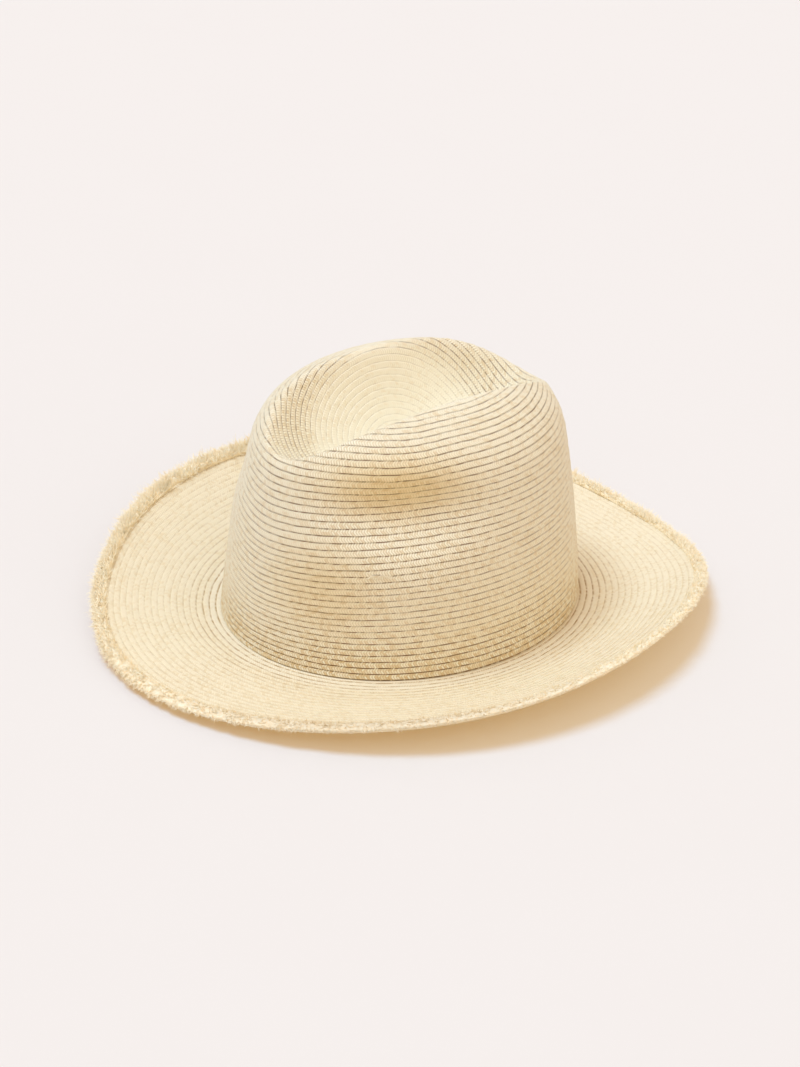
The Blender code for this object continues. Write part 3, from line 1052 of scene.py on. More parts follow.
@dataclass(frozen=True)
class Braid:
    """Plaited straw strip sewn in a spiral, each course lapping the one before like a shingle."""

    courses: int
    thickness: float
    lip: float = 0.00042
    sink: float = 0.00025
    tip_lip: float = 0.4
    tip_start: float = 0.110
    tip_end: float = 0.150
    inner_step: float = 0.0004
    plait: float = 0.0014
    stray: float = 0.00010
    swell: float = 0.00008
    calm_start: float = 0.006
    calm_end: float = 0.010
    columns: int = 512
    outer_shares: tuple[float, ...] = (0.0, 0.03, 0.10, 0.30, 0.65)
    outer_rises: tuple[float, ...] = (0.0, 0.82, 1.0, 0.86, 0.45)
    inner_shares: tuple[float, ...] = (0.0, 0.06, 0.5)
    inner_rises: tuple[float, ...] = (1.0, 0.0, 0.5)
    seed: int = 11

    @cached_property
    def turn(self) -> Array:
        """Turns of the columns, with the front at both ends."""
        return np.linspace(0, FULL_TURN, self.columns + 1)

    def grid(self, shares: tuple[float, ...], low: int, high: int) -> tuple[Array, Array, Array]:
        """Rows of a spiral between two levels, which are cut level at both ends.

        A row lies at a share of its course, and climbs by one course in one turn.

        Args:
            shares: Where the rows lie across a course.
            low: Course where the piece begins.
            high: Course where it ends.

        Returns:
            Course number of each row, level of each point in courses, and its share of its course.
        """
        course = np.append(np.repeat(np.arange(low, high + 1), len(shares)), high)
        share = np.append(np.tile(shares, high - low + 1), 1.0)
        begun = course[:, None] - 1 + np.linspace(0, 1, self.columns + 1)
        level = np.clip(begun + share[:, None], low, high)
        return course, level, level - begun

    def lengths(self, surface: Surface) -> Array:
        """Running length along every course at each column, in plaits.

        Args:
            surface: The face that the braid is sewn over.

        Returns:
            Courses by columns.
        """
        begun = np.arange(self.courses + 1)[:, None] - 0.5 + np.linspace(0, 1, self.columns + 1)
        distance = surface.length * np.clip(begun, 0, self.courses) / self.courses
        middle = surface.place(distance, self.turn)[0]
        steps = np.linalg.norm(np.diff(middle, axis=1), axis=-1)
        run = np.concatenate([np.zeros((self.courses + 1, 1)), np.cumsum(steps, axis=1)], axis=1)
        return (run + np.append(0, np.cumsum(run[:-1, -1]))[:, None]) / self.plait

    def face(self, stock: Stock, surface: Surface, face: Face, low: int, high: int, sink: float) -> Array:
        """Lays one face of the spiral.

        Args:
            stock: The mesh to add to.
            surface: The face of the hat that the braid is sewn over.
            face: Which face of the braid.
            low: Course where the piece begins.
            high: Course where it ends.
            sink: Depth of the whole piece below the surface.

        Returns:
            Point numbers, rows by columns.
        """
        outer = face is Face.OUTER
        shares = self.outer_shares if outer else self.inner_shares
        rises = self.outer_rises if outer else self.inner_rises
        course, level, share = self.grid(shares, low, high)
        distance = surface.length * level / self.courses
        fade = ease(distance / self.calm_start) * ease((surface.length - distance) / self.calm_end)
        moved = distance + self.stray * fade * ripple(self.turn[None, :], distance, self.seed)
        points, out = surface.place(moved, self.turn)
        shape = np.interp(share, (*shares, 1.0), (*rises, rises[0]))
        soft_share = ease((distance - self.tip_start) / (self.tip_end - self.tip_start))
        low_lip = 1 - (1 - self.tip_lip) * soft_share
        base, size = -self.thickness, self.inner_step
        if outer:
            base, size = -self.sink * low_lip, self.lip * low_lip
        swell = self.swell * fade * ripple(self.turn[None, :], distance, self.seed + 1)
        numbers = stock.add(points + (base + size * shape + swell - sink)[..., None] * out)
        along = self.lengths(surface)[course[:-1]]
        across = level + 1 - np.linspace(0, 1, self.columns + 1)
        along = np.stack([along[:, :-1], along[:, 1:], along[:, 1:], along[:, :-1]], axis=2)
        stock.quads(cells(numbers), np.stack([along, cells(across)], axis=-1), face)
        return numbers

    def cover(
        self, name: str, surface: Surface, finish: bpy.types.Material, low: int, high: int, sink: float = 0.0
    ) -> bpy.types.Object:
        """Makes one closed piece of the spiral.

        Args:
            name: Name of the piece.
            surface: The face of the hat that the braid is sewn over.
            finish: Its material.
            low: Course where the piece begins.
            high: Course where it ends.
            sink: Depth of the whole piece below the surface.

        Returns:
            The piece.
        """
        stock = Stock()
        outer = self.face(stock, surface, Face.OUTER, low, high, sink)
        inner = self.face(stock, surface, Face.INNER, low, high, sink)
        stock.strip(inner[0], outer[0], np.array([0.0, low + 0.5]))
        stock.strip(outer[-1], inner[-1], np.array([0.0, high + 0.5]))
        return stock.piece(name, finish)


@dataclass
class Crown:
    """Crown sewn from two lengths of braid, the lower one lapped inside the upper."""

    form: CrownForm
    finish: StrawFinish = StrawFinish(
        # Painted light: the tip courses paler, with faint groove shadows, as set by the soft defaults.
        "crown_straw",
        # Painted shade: the foot courses darker and more golden, with deeper groove shadows.
        foot_shade=0.5,
        foot_deep=1.3,
        # Painted shade: a darker, golden tint in the pinch under the front ridge and in a hollow lower on
        # the front wall.
        shade_spots=(
            Spot((0.055, -0.055, 0.104), (0.066, 0.060, 0.025), 1.0),
            Spot((0.038, -0.087, 0.050), (0.044, 0.038, 0.038), 0.6),
        ),
    )
    braid: Braid = Braid(courses=59, thickness=0.0019)
    splice: int = 17
    shoulder: int = 38
    lap_low: int = 15
    lap_high: int = 18
    lap_depth: float = 0.0021
    end_turn: float = math.radians(42.4)
    end_length: float = math.radians(11.0)
    end_slant: float = math.radians(2.4)
    end_low: float = 16.62
    end_high: float = 17.50
    end_lift: float = 0.0006
    end_stand: float = 0.0001
    end_sink: float = 0.0004
    end_side: float = 6.0
    end_cut: float = 12.0
    end_across: float = 0.98
    end_columns: int = 60
    end_rows: int = 9

    def build_end(self, material: bpy.types.Material) -> None:
        """Makes the braid's end that shows: a slanting cut lapped over one groove, thinning out to nothing.

        Args:
            material: The crown's finish.
        """
        share = np.linspace(0, 1, self.end_rows)[:, None]
        run = np.linspace(0, 1, self.end_columns)[None, :]
        top = self.end_high + (self.splice + self.end_turn / FULL_TURN - self.end_high) * ease(run)
        level = self.end_low + (top - self.end_low) * share
        turn = self.end_turn + self.end_slant * share * (1 - run) + self.end_length * run
        distance = self.form.length * level / self.braid.courses
        sides = ease(self.end_side * np.minimum(share, 1 - share)) * ease(self.end_cut * run)
        height = self.end_lift * sides * (1 - run) + self.end_stand - self.end_sink * run
        points, out = self.form.place_each(distance, turn)
        front = points + height[..., None] * out
        back = points - (self.braid.thickness / 2) * out
        along = run * self.end_length * self.form.half_length / self.braid.plait
        pattern = joined(along, self.splice + self.end_across * share)
        stock = Stock()
        stock.shell(front, back, pattern)
        fit(stock.piece("crown_splice_end", material), Body.HAT, Slot.STRAW, "crown_upper")

    def build(self) -> None:
        """Makes the lower wall, the upper wall, the tip and the lapped ends inside and outside."""
        material = self.finish.material()
        lengths = (
            ("crown_lower_braid", 0, self.splice, 0.0, "crown_lower"),
            ("crown_upper_braid", self.splice, self.shoulder, 0.0, "crown_upper"),
            ("crown_tip_braid", self.shoulder, self.braid.courses, 0.0, "crown_upper"),
            ("crown_splice_lap", self.lap_low, self.lap_high, self.lap_depth, "crown_lower"),
        )
        for name, low, high, sink, node in lengths:
            piece = self.braid.cover(name, self.form, material, low, high, sink)
            fit(piece, Body.HAT, Slot.STRAW, node)
        self.build_end(material)


@dataclass
class Brim:
    """Brim sewn from one spiral of braid, its courses lapped outwards."""

    form: BrimForm
    # A second copy of the crown's straw for the brim's stronger light: darker straw, painted shade that
    # offsets that light, fainter painted groove shadows, and groove shadows that fade over the outer
    # courses, painted light.
    finish: StrawFinish = StrawFinish(
        "brim_straw",
        light=(0.945, 0.86, 0.655),
        gap=(0.76, 0.58, 0.32),
        groove=(0.42, 0.25, 0.08),
        groove_share=0.85,
        gap_share=0.42,
        groove_start=0.62,
        groove_full=0.95,
        soft_from=19.0,
        soft_to=11.0,
        soft_loss=0.66,
        # Painted light: the inner courses by the headline paler, with deeper groove shadows, painted shade.
        foot_from=17.0,
        foot_to=17.9,
        foot_deep=0.3,
        foot_pale=0.45,
        soft_tone=0.0,
        tint_spread=0.8,
    )
    braid: Braid = Braid(courses=21, thickness=0.0016, lip=0.00038, sink=0.0002, seed=23)

    def build(self) -> None:
        """Makes the whole brim."""
        piece = self.braid.cover("brim_braid", self.form, self.finish.material(), 0, self.braid.courses)
        fit(piece, Body.HAT, Slot.STRAW, "brim")


@dataclass(frozen=True)
class Crowd:
    """Loose fibres of one kind: where they are rooted across the strip, from in to out, and how long."""

    name: str
    fibres: int
    root_low: float
    root_high: float
    shortest: float
    longest: float
    seed: int


@dataclass
class FrayedEdge:
    """Frayed edge: a soft rounded strip sewn on the brim, with loose straw combed outwards over it.

    The strip is pressed out wider and flatter about one turn, and its fibres are longest about another.
    """

    form: BrimForm
    finish: FibreFinish = FibreFinish(
        "frayed_fibre",
        # Painted shade: a dimmer tint over the front left of the edge, which gets more light than the far
        # side.
        shade_spots=(Spot((0.118, -0.114, 0.012), (0.150, 0.150, 0.080), 1.0),),
    )
    strip: float = 0.0062
    wider: float = 1.1
    widest_turn: float = math.radians(55.0)
    flatter: float = 0.40
    overhang: float = 0.0010
    thickness: float = 0.0015
    edge_share: float = 0.1
    rough: float = 0.0009
    gap: float = 0.00012
    fibre_pitch: float = 0.0004
    columns: int = 720
    rows: int = 10
    crowds: tuple[Crowd, ...] = (
        Crowd("frayed_fibres", 15000, 0.55, 1.0, 0.0008, 0.0044, seed=5),
        Crowd("frayed_fluff", 15000, 0.0, 0.6, 0.0012, 0.0034, seed=6),
        Crowd("frayed_rim", 12000, 0.93, 1.0, 0.0010, 0.0032, seed=7),
    )
    comb_in: float = math.radians(82.0)
    comb_out: float = math.radians(-36.0)
    droop: float = math.radians(-10.0)
    scatter: float = math.radians(34.0)
    longer: float = 0.5
    longest_turn: float = math.radians(-100.0)
    clumps: int = 640
    clump_stray: float = 0.3
    clump_spread: float = 0.5
    clump_lean: float = 0.12
    clump_sway: float = 0.275
    own_sway: float = 0.8
    own_length: tuple[float, float] = (0.5, 1.4)
    own_width: tuple[float, float] = (0.6, 1.3)
    root_height: float = 0.95
    bow: float = 0.1
    width: float = 0.00040
    clear: float = 0.0006
    seed: int = 5

    @cached_property
    def material(self) -> bpy.types.Material:
        """The fibres' finish, wired once."""
        return self.finish.material()

    def spread(self, turn: Array) -> Array:
        """How far the strip is pressed out wide: a squared cosine about one turn, and none behind it."""
        return np.maximum(np.cos(turn - self.widest_turn), 0) ** 2

    def reach(self, share: Array, turn: Array) -> Array:
        """Reach along the brim at a share across the strip, from in to out."""
        strip = self.strip * (1 + self.wider * self.spread(turn))
        return self.form.width + self.overhang - strip * (1 - share)

    def arch(self, share: Array, turn: Array) -> Array:
        """Height of the strip's rounded back: a fourth power across, flatter where the strip is wider."""
        thickness = self.thickness * (1 - self.flatter * self.spread(turn))
        return thickness * (1 - (2 * share - 1) ** 4)

    def build_strip(self) -> None:
        """Makes the strip: a rounded back across, roughened all over and carried round the brim."""
        turn = np.linspace(0, FULL_TURN, self.columns + 1)
        share = np.linspace(0, 1, self.rows)[:, None]
        rough = np.random.default_rng(self.seed).uniform(-1, 1, (self.rows, self.columns))
        arch = self.arch(share, turn[None, :])
        rough = self.rough * np.concatenate([rough, rough[:, :1]], axis=1) * arch / self.thickness
        back = self.gap + self.edge_share * self.thickness + (1 - self.edge_share) * arch + rough
        reach = self.reach(share, turn[None, :])
        bottom = self.form.layer(reach, turn[None, :], self.gap)
        top = self.form.layer(reach, turn[None, :], back)
        pattern = joined(run_along(top[0])[None, :] / self.fibre_pitch, share)
        stock = Stock()
        stock.shell(bottom, top, pattern)
        fit(stock.piece("frayed_strip", self.material), Body.HAT, Slot.FRAYED, "fringe")

    def build_fibres(self, crowd: Crowd) -> None:
        """Makes a crowd of fibres: each leans with its clump, inner ones up and outer ones over the rim.

        Args:
            crowd: How many fibres there are, and how they lie.
        """
        draw = np.random.default_rng(crowd.seed)
        count, pitch = crowd.fibres, FULL_TURN / self.clumps
        clump = draw.integers(0, self.clumps, count)
        stray = draw.uniform(-self.clump_stray, self.clump_stray, self.clumps)
        centre = (np.arange(self.clumps) + stray) * pitch
        turn = centre[clump] + draw.normal(0, self.clump_spread, count) * pitch
        share = draw.uniform(crowd.root_low, crowd.root_high, count)
        reach = self.reach(share, turn)
        out, around, up = self.form.axes(reach, turn)
        tall = draw.uniform(crowd.shortest, crowd.longest, self.clumps)[clump]
        tall = tall * draw.uniform(*self.own_length, count)
        tall = tall * (1 + self.longer * np.cos(turn - self.longest_turn))
        outer = self.comb_out + self.droop * np.cos(turn - self.widest_turn)
        lean = self.comb_in + (outer - self.comb_in) * share + draw.normal(0, self.scatter, count)
        lean = lean + draw.normal(0, self.clump_lean, self.clumps)[clump]
        sway = draw.normal(0, self.clump_sway, self.clumps)[clump] + draw.normal(0, self.own_sway, count)
        way = np.cos(lean)[:, None] * out + np.sin(lean)[:, None] * up + sway[:, None] * around
        roots = self.form.layer(reach, turn, self.gap + self.root_height * self.arch(share, turn))
        tips = roots + tall[:, None] * unit(way)
        tips[:, 2] = np.maximum(tips[:, 2], self.clear)
        width = self.width * draw.uniform(*self.own_width, count)
        stock = Stock()
        stock.strands(roots, tips, self.bow * tall[:, None] * up, width, rings=2)
        piece = stock.piece(crowd.name, self.material, weld=False)
        fit(piece, Body.HAT, Slot.FRAYED, "fringe")

    def build(self) -> None:
        """Makes the strip and the loose fibres."""
        self.build_strip()
        for crowd in self.crowds:
            self.build_fibres(crowd)


@dataclass(frozen=True)
class Thread:
    """Running stitches in sewing thread."""

    length: float = 0.0022
    pitch: float = 0.0032
    width: float = 0.00034
    stand: float = 0.00022

    def sew(self, stock: Stock, path: Array, out: Array) -> None:
        """Adds a row of stitches along a path.

        Args:
            stock: The mesh to add to.
            path: Points along the seam.
            out: Ways out of the cloth at those points.
        """
        run = run_along(path)
        start = np.arange(self.pitch / 2, run[-1] - self.length, self.pitch)

        def at(values: Array, where: Array) -> Array:
            """Values of the path at distances along it."""
            return np.stack([np.interp(where, run, values[:, axis]) for axis in range(3)], axis=-1)

        roots, tips = at(path, start), at(path, start + self.length)
        bulge = self.stand * unit(at(out, start + self.length / 2))
        stock.strands(roots, tips, bulge, np.full(start.size, self.width), rings=4, taper=0.0)

    def sew_rows(self, form: CrownForm, turn: Array, rises: tuple[float, ...], depth: float) -> Stock:
        """Makes rows of stitches along the inside of the crown.

        Args:
            form: The crown's face.
            turn: Turns that the rows run through.
            rises: Climb of each row from the crown's foot.
            depth: Depth of the stitches below the crown's face.

        Returns:
            The mesh of the stitches.
        """
        stitches = Stock()
        for rise in rises:
            climb = np.full_like(turn, rise)
            self.sew(stitches, form.layer(climb, turn, depth), -form.ways_out(climb, turn))
        return stitches


@dataclass
class Sweatband:
    """Ribbed ribbon ring inside the crown's foot, with a window at the back for the size tape."""

    form: CrownForm
    tape: "SizeTape"
    finish: RibbonFinish = RibbonFinish("band_ribbon", light=(0.84, 0.76, 0.61), dark=(0.62, 0.53, 0.39))
    thread: Thread = Thread()
    thread_finish: FibreFinish = FibreFinish("band_thread", through=0.0, root=(0.8, 0.72, 0.56))
    height: float = 0.028
    depth: float = 0.0036
    thickness: float = 0.0008
    rib: float = 0.0013
    rib_height: float = 0.00012
    selvedge: float = 0.0010
    weft: float = 0.0005
    edge_thin: float = 0.0003
    seam: float = 0.0024
    window_rows: int = 6
    columns: int = 1760

    def build(self) -> None:
        """Makes the ribbon and the two rows of stitches that hold it."""
        turn = np.linspace(0, FULL_TURN, self.columns + 1)
        low, high = self.tape.window_low - self.form.foot, self.tape.window_high - self.form.foot
        border = np.array([0.0, self.selvedge, 2 * self.selvedge])
        window = np.linspace(low, high, self.window_rows)
        climb = np.unique(np.concatenate([border, window, self.height - border]))
        along = run_along(self.form.points(np.zeros(1), turn)) / self.rib
        along = along * round(along[-1]) / along[-1]
        ribs = self.rib_height * np.cos(FULL_TURN * along)[None, :]
        edge = ease(np.minimum(climb, self.height - climb) / self.selvedge)[:, None]
        face = self.depth + self.thickness + ribs * edge - self.edge_thin * (1 - edge)
        outer = self.form.layer(climb[:, None], turn[None, :], self.depth)
        inner = self.form.layer(climb[:, None], turn[None, :], face)
        pattern = joined(along[None, :], climb[:, None] / self.weft)
        left, right = self.tape.window_turns
        middle, level = (turn[1:] + turn[:-1]) / 2, (climb[1:] + climb[:-1]) / 2
        beside = (middle < left) | (middle > right)
        keep = beside[None, :] | (level < low)[:, None] | (level > high)[:, None]
        stock = Stock()
        stock.shell(outer, inner, pattern, keep)
        piece = stock.piece("sweatband_ribbon", self.finish.material())
        fit(piece, Body.HAT, Slot.RIBBON, "sweatband")
        depth = self.depth + self.thickness + self.rib_height
        stitches = self.thread.sew_rows(self.form, turn, (self.seam, self.height - self.seam), depth)
        piece = stitches.piece("sweatband_stitches", self.thread_finish.material(), weld=False)
        fit(piece, Body.HAT, Slot.RIBBON)


@dataclass
class SizeTape:
    """Size tape: a hooked tape that slides through the band's window and holds on a soft patch."""

    form: CrownForm
    loop_finish: PileFinish = PileFinish("loop_pile", light=(0.83, 0.75, 0.60), dark=(0.58, 0.49, 0.35))
    hook_finish: PileFinish = PileFinish(
        "hook_weave", light=(0.78, 0.69, 0.54), dark=(0.55, 0.46, 0.33), loop_size=0.0006, relief=0.00012
    )
    thread: Thread = Thread(length=0.0016, pitch=0.0023)
    thread_finish: FibreFinish = FibreFinish("tape_thread", through=0.0, root=(0.8, 0.72, 0.56))
    low: float = 0.0091
    width: float = 0.014
    thickness: float = 0.0008
    depth: float = 0.0023
    front_depth: float = 0.0060
    patch_depth: float = 0.0047
    tail: float = math.radians(20.0)
    step: float = math.radians(8.0)
    front: float = math.radians(18.0)
    travel: float = math.radians(11.0)
    window_ease: float = math.radians(1.5)
    window_margin: float = 0.001
    patch_length: float = math.radians(18.0)
    patch_ease: float = math.radians(1.0)
    patch_thickness: float = 0.0006
    patch_rows: int = 40
    patch_edge: float = 14.0
    patch_side: float = 22.0
    patch_bind: float = 0.35
    patch_grain: float = 900.0
    pile: float = 0.00022
    pile_least: float = 0.4
    stitch_row: int = 2
    stitch_clear: float = 0.0001
    bind_width: float = 0.0012
    bind_thin: float = 0.00015
    weave_angle: float = 0.005
    weave_pitch: float = 0.0005
    hook_height: float = 0.00036
    hook_width: float = 0.00022
    hook_root: float = 0.0001
    hook_bow: float = 0.00012
    hook_bend: float = 0.3
    hook_margin: int = 2
    hook_rows: int = 11
    hook_columns: int = 22
    tape_rows: int = 16
    columns: int = 96
    seed: int = 3

    @property
    def rest(self) -> float:
        """Angle where the tape's step begins when it is let out."""
        return -(self.step + self.travel) / 2

    @property
    def window_half(self) -> float:
        """Half of the window's angle round the back arc."""
        return (self.step + self.travel) / 2 + self.window_ease

    @property
    def window_low(self) -> float:
        """Height of the window's lower edge."""
        return self.low - self.window_margin

    @property
    def window_high(self) -> float:
        """Height of the window's upper edge."""
        return self.low + self.width + self.window_margin

    @property
    def window_turns(self) -> tuple[float, float]:
        """Turns of the window's two ends."""
        ends = self.turn_at(np.array([self.window_half, -self.window_half]))
        return float(ends[0]), float(ends[1])

    @cached_property
    def arc(self) -> tuple[float, float]:
        """Round back of the crown, half way up the tape.

        Returns:
            The arc's radius, and its centre's place along the hat.
        """
        climb = self.low + self.width / 2 - self.form.foot
        width = float(np.interp(climb, self.form.profile[0], self.form.profile[1]))
        height = float(np.interp(climb, self.form.profile[0], self.form.profile[2]))
        length = width + self.form.half_length - self.form.half_width
        radius = width**2 / length
        return radius, length - self.form.rake * height / self.form.rake_height - radius

    def turn_at(self, angle: Array) -> Array:
        """Turn round the hat of places at angles round the back arc, from +Y towards +X."""
        return math.pi - np.arcsin(np.clip(self.arc[0] * np.sin(angle) / self.form.half_width, -1, 1))

    def build_patch(self) -> None:
        """Makes the soft patch: a fuzzy face with bound edges, sewn on with stitches."""
        start = self.window_half + self.patch_ease
        turn = self.turn_at(np.linspace(start + self.patch_length, start, self.columns))
        climb = np.linspace(self.low, self.low + self.width, self.patch_rows) - self.form.foot
        up, along = np.linspace(0, 1, self.patch_rows)[:, None], np.linspace(0, 1, self.columns)[None, :]
        edge, side = self.patch_edge * np.minimum(up, 1 - up), self.patch_side * np.minimum(along, 1 - along)
        inside = ease(np.minimum(edge, side) - self.patch_bind)
        fuzz = np.random.default_rng(self.seed).uniform(0, 1, inside.shape)
        pile = self.pile * inside * (self.pile_least + (1 - self.pile_least) * fuzz)
        face = self.patch_depth + self.patch_thickness + pile
        outer = self.form.layer(climb[:, None], turn[None, :], self.patch_depth)
        inner = self.form.layer(climb[:, None], turn[None, :], face)
        stock = Stock()
        stock.shell(outer, inner, joined(turn[None, :], climb[:, None]) * self.patch_grain)
        fit(stock.piece("loop_patch_pile", self.loop_finish.material()), Body.HAT, Slot.LOOP, "loop_patch")
        rises = (climb[self.stitch_row], climb[-1 - self.stitch_row])
        depth = self.patch_depth + self.patch_thickness + self.stitch_clear
        stitches = self.thread.sew_rows(self.form, turn, rises, depth)
        piece = stitches.piece("loop_patch_stitches", self.thread_finish.material(), weld=False)
        fit(piece, Body.HAT, Slot.LOOP)

    def build_tape(self) -> None:
        """Makes the tape: a tail behind the band, a smooth step through the window, and a front."""
        last = self.rest + self.step + self.front
        angle = np.linspace(last, self.rest - self.tail, self.columns)
        depth = self.depth + (self.front_depth - self.depth) * ease((angle - self.rest) / self.step)
        height = np.linspace(self.low, self.low + self.width, self.tape_rows)[:, None]
        radius, centre = self.arc
        wall = self.form.points(height - self.form.foot, np.full_like(height, math.pi))[..., 1]
        lean = centre + radius - wall

        def ring(inset: Array) -> Array:
            """Points round the back arc at an inset from the crown's face."""
            away = radius - inset - lean
            return joined(away * np.sin(angle), centre + away * np.cos(angle), height)

        border = np.minimum(height - self.low, self.low + self.width - height)
        bind = self.bind_thin * (1 - ease(border / self.bind_width))
        outer, inner = ring(depth[None, :] + bind), ring(depth[None, :] + self.thickness - bind)
        pattern = joined(angle[None, :] / self.weave_angle, height / self.weave_pitch)
        stock = Stock()
        stock.shell(outer, inner, pattern)
        front_columns = int(self.columns * self.front / (last - self.rest + self.tail))
        columns = np.linspace(self.hook_margin, front_columns - 1 - self.hook_margin, self.hook_columns)
        rows = np.linspace(self.hook_margin, self.tape_rows - 1 - self.hook_margin, self.hook_rows)
        grid = outer[rows.astype(int)][:, columns.astype(int)].reshape(-1, 3)
        away = unit((grid - [0.0, centre, 0.0]) * [1.0, 1.0, 0.0])
        across = np.cross(away, [0.0, 0.0, 1.0])
        roots = grid - self.hook_root * away
        tips = grid + self.hook_height * (away + self.hook_bend * across)
        stock.strands(roots, tips, self.hook_bow * across, np.full(len(grid), self.hook_width))
        piece = stock.piece("hook_tape_weave", self.hook_finish.material(), weld=False)
        fit(piece, Body.TAPE, Slot.HOOK, "hook_tape")

    def build(self) -> None:
        """Makes the patch and the tape."""
        self.build_patch()
        self.build_tape()


@dataclass
class CareLabel:
    """Blank woven label that hangs from its sewn top edge."""

    finish: RibbonFinish = RibbonFinish(
        "label_satin", light=(0.93, 0.92, 0.88), dark=(0.80, 0.78, 0.73), rib_depth=0.00004, sheen=0.1
    )
    thread: Thread = Thread(length=0.0014, pitch=0.0021, width=0.00026)
    thread_finish: FibreFinish = FibreFinish("label_thread", through=0.0, root=(0.88, 0.86, 0.80))
    thickness: float = 0.0004
    bow: float = 0.0004
    hem: float = 0.0016
    hem_thick: float = 0.00008
    hem_soft: float = 0.0004
    seam_share: float = 0.6
    seam_ends: int = 2
    stitch_sink: float = 0.0001
    thread_pitch: float = 0.00035
    columns: int = 60
    rows: int = 36

    def build(self) -> None:
        """Makes the label: a plate with a slight bow, a doubled hem at the top and stitches in it."""
        low, high = (np.array(corner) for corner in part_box("care_label"))
        y = np.linspace(low[1], high[1], self.columns)[None, :]
        z = np.linspace(low[2], high[2], self.rows)[:, None]
        across, down = (y - low[1]) / (high[1] - low[1]), (high[2] - z) / (high[2] - low[2])
        hem = self.hem_thick * ease((self.hem - (high[2] - z)) / self.hem_soft)
        middle = (low[0] + high[0]) / 2 - self.bow * down**2 * np.sin(math.pi * across)
        front = joined(middle + self.thickness / 2, y, z)
        back = joined(middle - self.thickness / 2 - hem, y, z)
        pattern = joined(y, z) / self.thread_pitch
        stock = Stock()
        stock.shell(front, back, pattern)
        piece = stock.piece("care_label_cloth", self.finish.material())
        fit(piece, Body.LABEL, Slot.LABEL, "care_label")
        seam = high[2] - self.seam_share * self.hem
        path = joined(low[0] + self.stitch_sink, y[0, self.seam_ends : -self.seam_ends], seam)
        stitches = Stock()
        self.thread.sew(stitches, path, np.broadcast_to([-1.0, 0.0, 0.0], path.shape))
        sewn = stitches.piece("care_label_stitches", self.thread_finish.material(), weld=False)
        fit(sewn, Body.LABEL, Slot.LABEL)


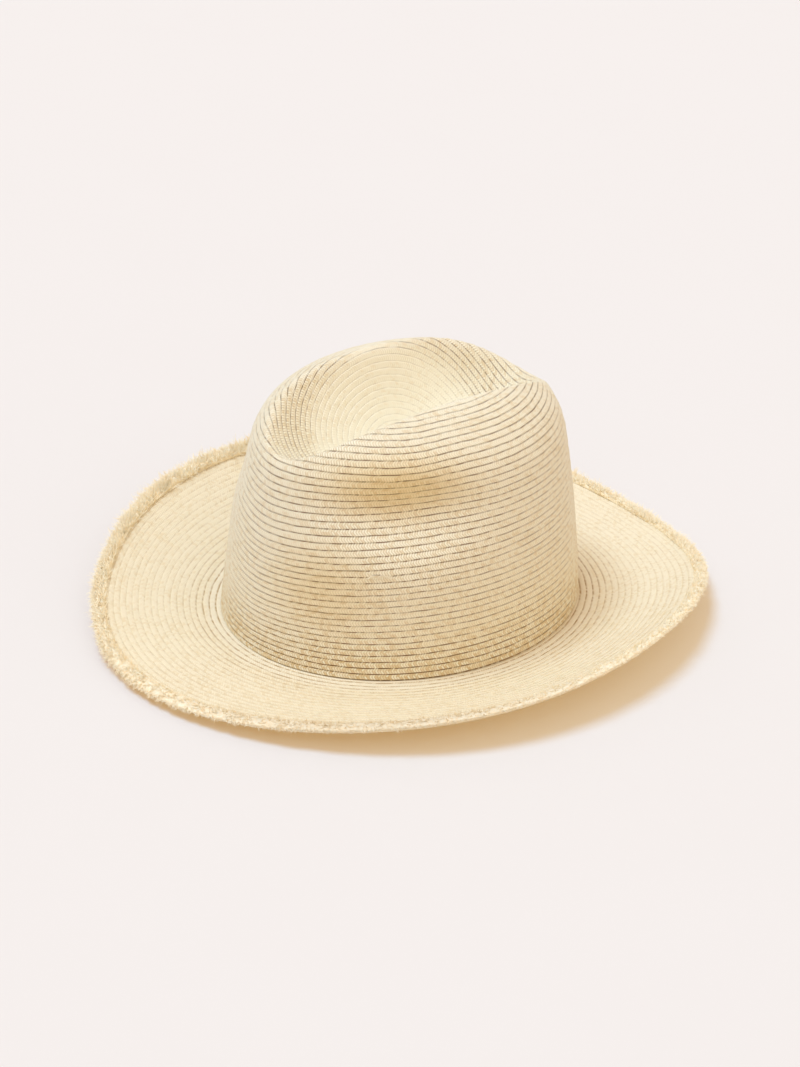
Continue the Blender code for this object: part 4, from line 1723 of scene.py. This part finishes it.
@dataclass
class Studio:
    """Pale paper floor, a soft high lamp, a broad front fill, an even sky and the camera."""

    floor: FloorFinish = FloorFinish()
    floor_size: float = 8.0
    lamp_turn: float = math.radians(-33.0)
    lamp_rise: float = math.radians(72.0)
    lamp_strength: float = 2.05
    lamp_spread: float = math.radians(24.0)
    lamp_colour: Colour = (0.612, 0.803, 1.0)
    fill_turn: float = math.radians(92.0)
    fill_rise: float = math.radians(42.0)
    fill_strength: float = 0.70
    fill_spread: float = math.radians(110.0)
    fill_colour: Colour = (1.0, 0.85, 0.66)
    sky_colour: Colour = (1.0, 0.77, 0.575)
    sky_strength: float = 0.645
    backdrop: Colour = (0.905, 0.868, 0.848)
    view_turn: float = math.radians(48.79)
    view_rise: float = math.radians(28.409)
    view_roll: float = math.radians(3.714)
    view_distance: float = 1.600
    view_target: tuple[float, float, float] = (0.00482, -0.00808, 0.04322)
    lens: float = 101.03
    sensor: float = 36.0
    clip_near: float = 0.05
    clip_far: float = 50.0

    @staticmethod
    def way(turn: float, rise: float) -> Vector:
        """Way from the hat at a turn from the front towards +X and a rise above the floor."""
        return Vector((math.sin(turn) * math.cos(rise), -math.cos(turn) * math.cos(rise), math.sin(rise)))

    def build_floor(self) -> None:
        """Lays the floor."""
        ends = np.array([-0.5, 0.5]) * self.floor_size
        corners = joined(ends[None, :], ends[:, None], 0.0)
        stock = Stock()
        stock.quads(cells(stock.add(corners)), cells(corners[..., :2]))
        stock.piece("paper_floor", self.floor.material())

    @staticmethod
    def hang(name: str, way: Vector, strength: float, spread: float, colour: Colour) -> None:
        """Hangs one far lamp.

        Args:
            name: Name of the lamp.
            way: Way from the hat to the lamp.
            strength: Its strength.
            spread: The angle that it fills.
            colour: Its colour.
        """
        lamp = bpy.data.lights.new(name, "SUN")
        lamp.energy, lamp.angle, lamp.color = strength, spread, colour
        hung = bpy.data.objects.new(name, lamp)
        hung.rotation_euler = way.to_track_quat("Z", "Y").to_euler()
        bpy.context.scene.collection.objects.link(hung)

    def build_light(self) -> None:
        """Hangs the lamps and lights the sky, whose backdrop shows only to the camera and to gloss."""
        high = self.way(self.lamp_turn, self.lamp_rise)
        self.hang("high_lamp", high, self.lamp_strength, self.lamp_spread, self.lamp_colour)
        front = self.way(self.fill_turn, self.fill_rise)
        self.hang("front_fill", front, self.fill_strength, self.fill_spread, self.fill_colour)
        world = bpy.data.worlds.new("even_sky")
        world.use_nodes = True
        tree = world.node_tree
        tree.nodes.clear()
        shades = []
        for colour, strength in ((self.sky_colour, self.sky_strength), (self.backdrop, 1.0)):
            shade = tree.nodes.new("ShaderNodeBackground")
            shade.inputs["Color"].default_value = (*colour, 1.0)
            shade.inputs["Strength"].default_value = strength
            shades.append(shade.outputs[0])
        path = tree.nodes.new("ShaderNodeLightPath")
        seen = path.outputs["Is Camera Ray"]
        for also in ("Is Glossy Ray", "Is Transmission Ray"):
            either = tree.nodes.new("ShaderNodeMath")
            either.operation = "MAXIMUM"
            tree.links.new(seen, either.inputs[0])
            tree.links.new(path.outputs[also], either.inputs[1])
            seen = either.outputs[0]
        choose = tree.nodes.new("ShaderNodeMixShader")
        for socket, value in zip(choose.inputs, (seen, *shades)):
            tree.links.new(value, socket)
        tree.links.new(choose.outputs[0], tree.nodes.new("ShaderNodeOutputWorld").inputs["Surface"])
        bpy.context.scene.world = world

    def build_camera(self) -> None:
        """Sets the camera: its own axes are right, up and back, rolled about the line of sight."""
        back = self.way(self.view_turn, self.view_rise)
        level = Vector((math.cos(self.view_turn), math.sin(self.view_turn), 0.0))
        up = back.cross(level)
        roll = (math.cos(self.view_roll), math.sin(self.view_roll))
        axes = (level * roll[0] + up * roll[1], up * roll[0] - level * roll[1], back)
        data = bpy.data.cameras.new("camera")
        data.lens, data.sensor_width, data.sensor_fit = self.lens, self.sensor, "AUTO"
        data.clip_start, data.clip_end = self.clip_near, self.clip_far
        camera = bpy.data.objects.new("camera", data)
        place = Matrix.Translation(Vector(self.view_target) + back * self.view_distance)
        camera.matrix_world = place @ Matrix(axes).transposed().to_4x4()
        bpy.context.scene.collection.objects.link(camera)
        bpy.context.scene.camera = camera

    def build(self) -> None:
        """Makes the floor, the light and the camera."""
        bpy.context.scene.view_settings.view_transform = "Standard"
        self.build_floor()
        self.build_light()
        self.build_camera()


def main() -> None:
    """Builds the studio and every piece of the hat."""
    low, high = (np.array(corner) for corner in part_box("crown_lower"))
    half = (high - low) / 2
    crown = CrownForm(half_width=float(half[0]), half_length=float(half[1]), foot=float(low[2]))
    brim = BrimForm(half_width=crown.half_width, half_length=crown.half_length, top=crown.foot - BRIM_DROP)
    Studio().build()
    tape = SizeTape(crown)
    for part in (Crown(crown), Brim(brim), FrayedEdge(brim), Sweatband(crown, tape), tape, CareLabel()):
        part.build()
        log.info("%s finished", type(part).__name__)


if __name__ == "__main__":
    main()
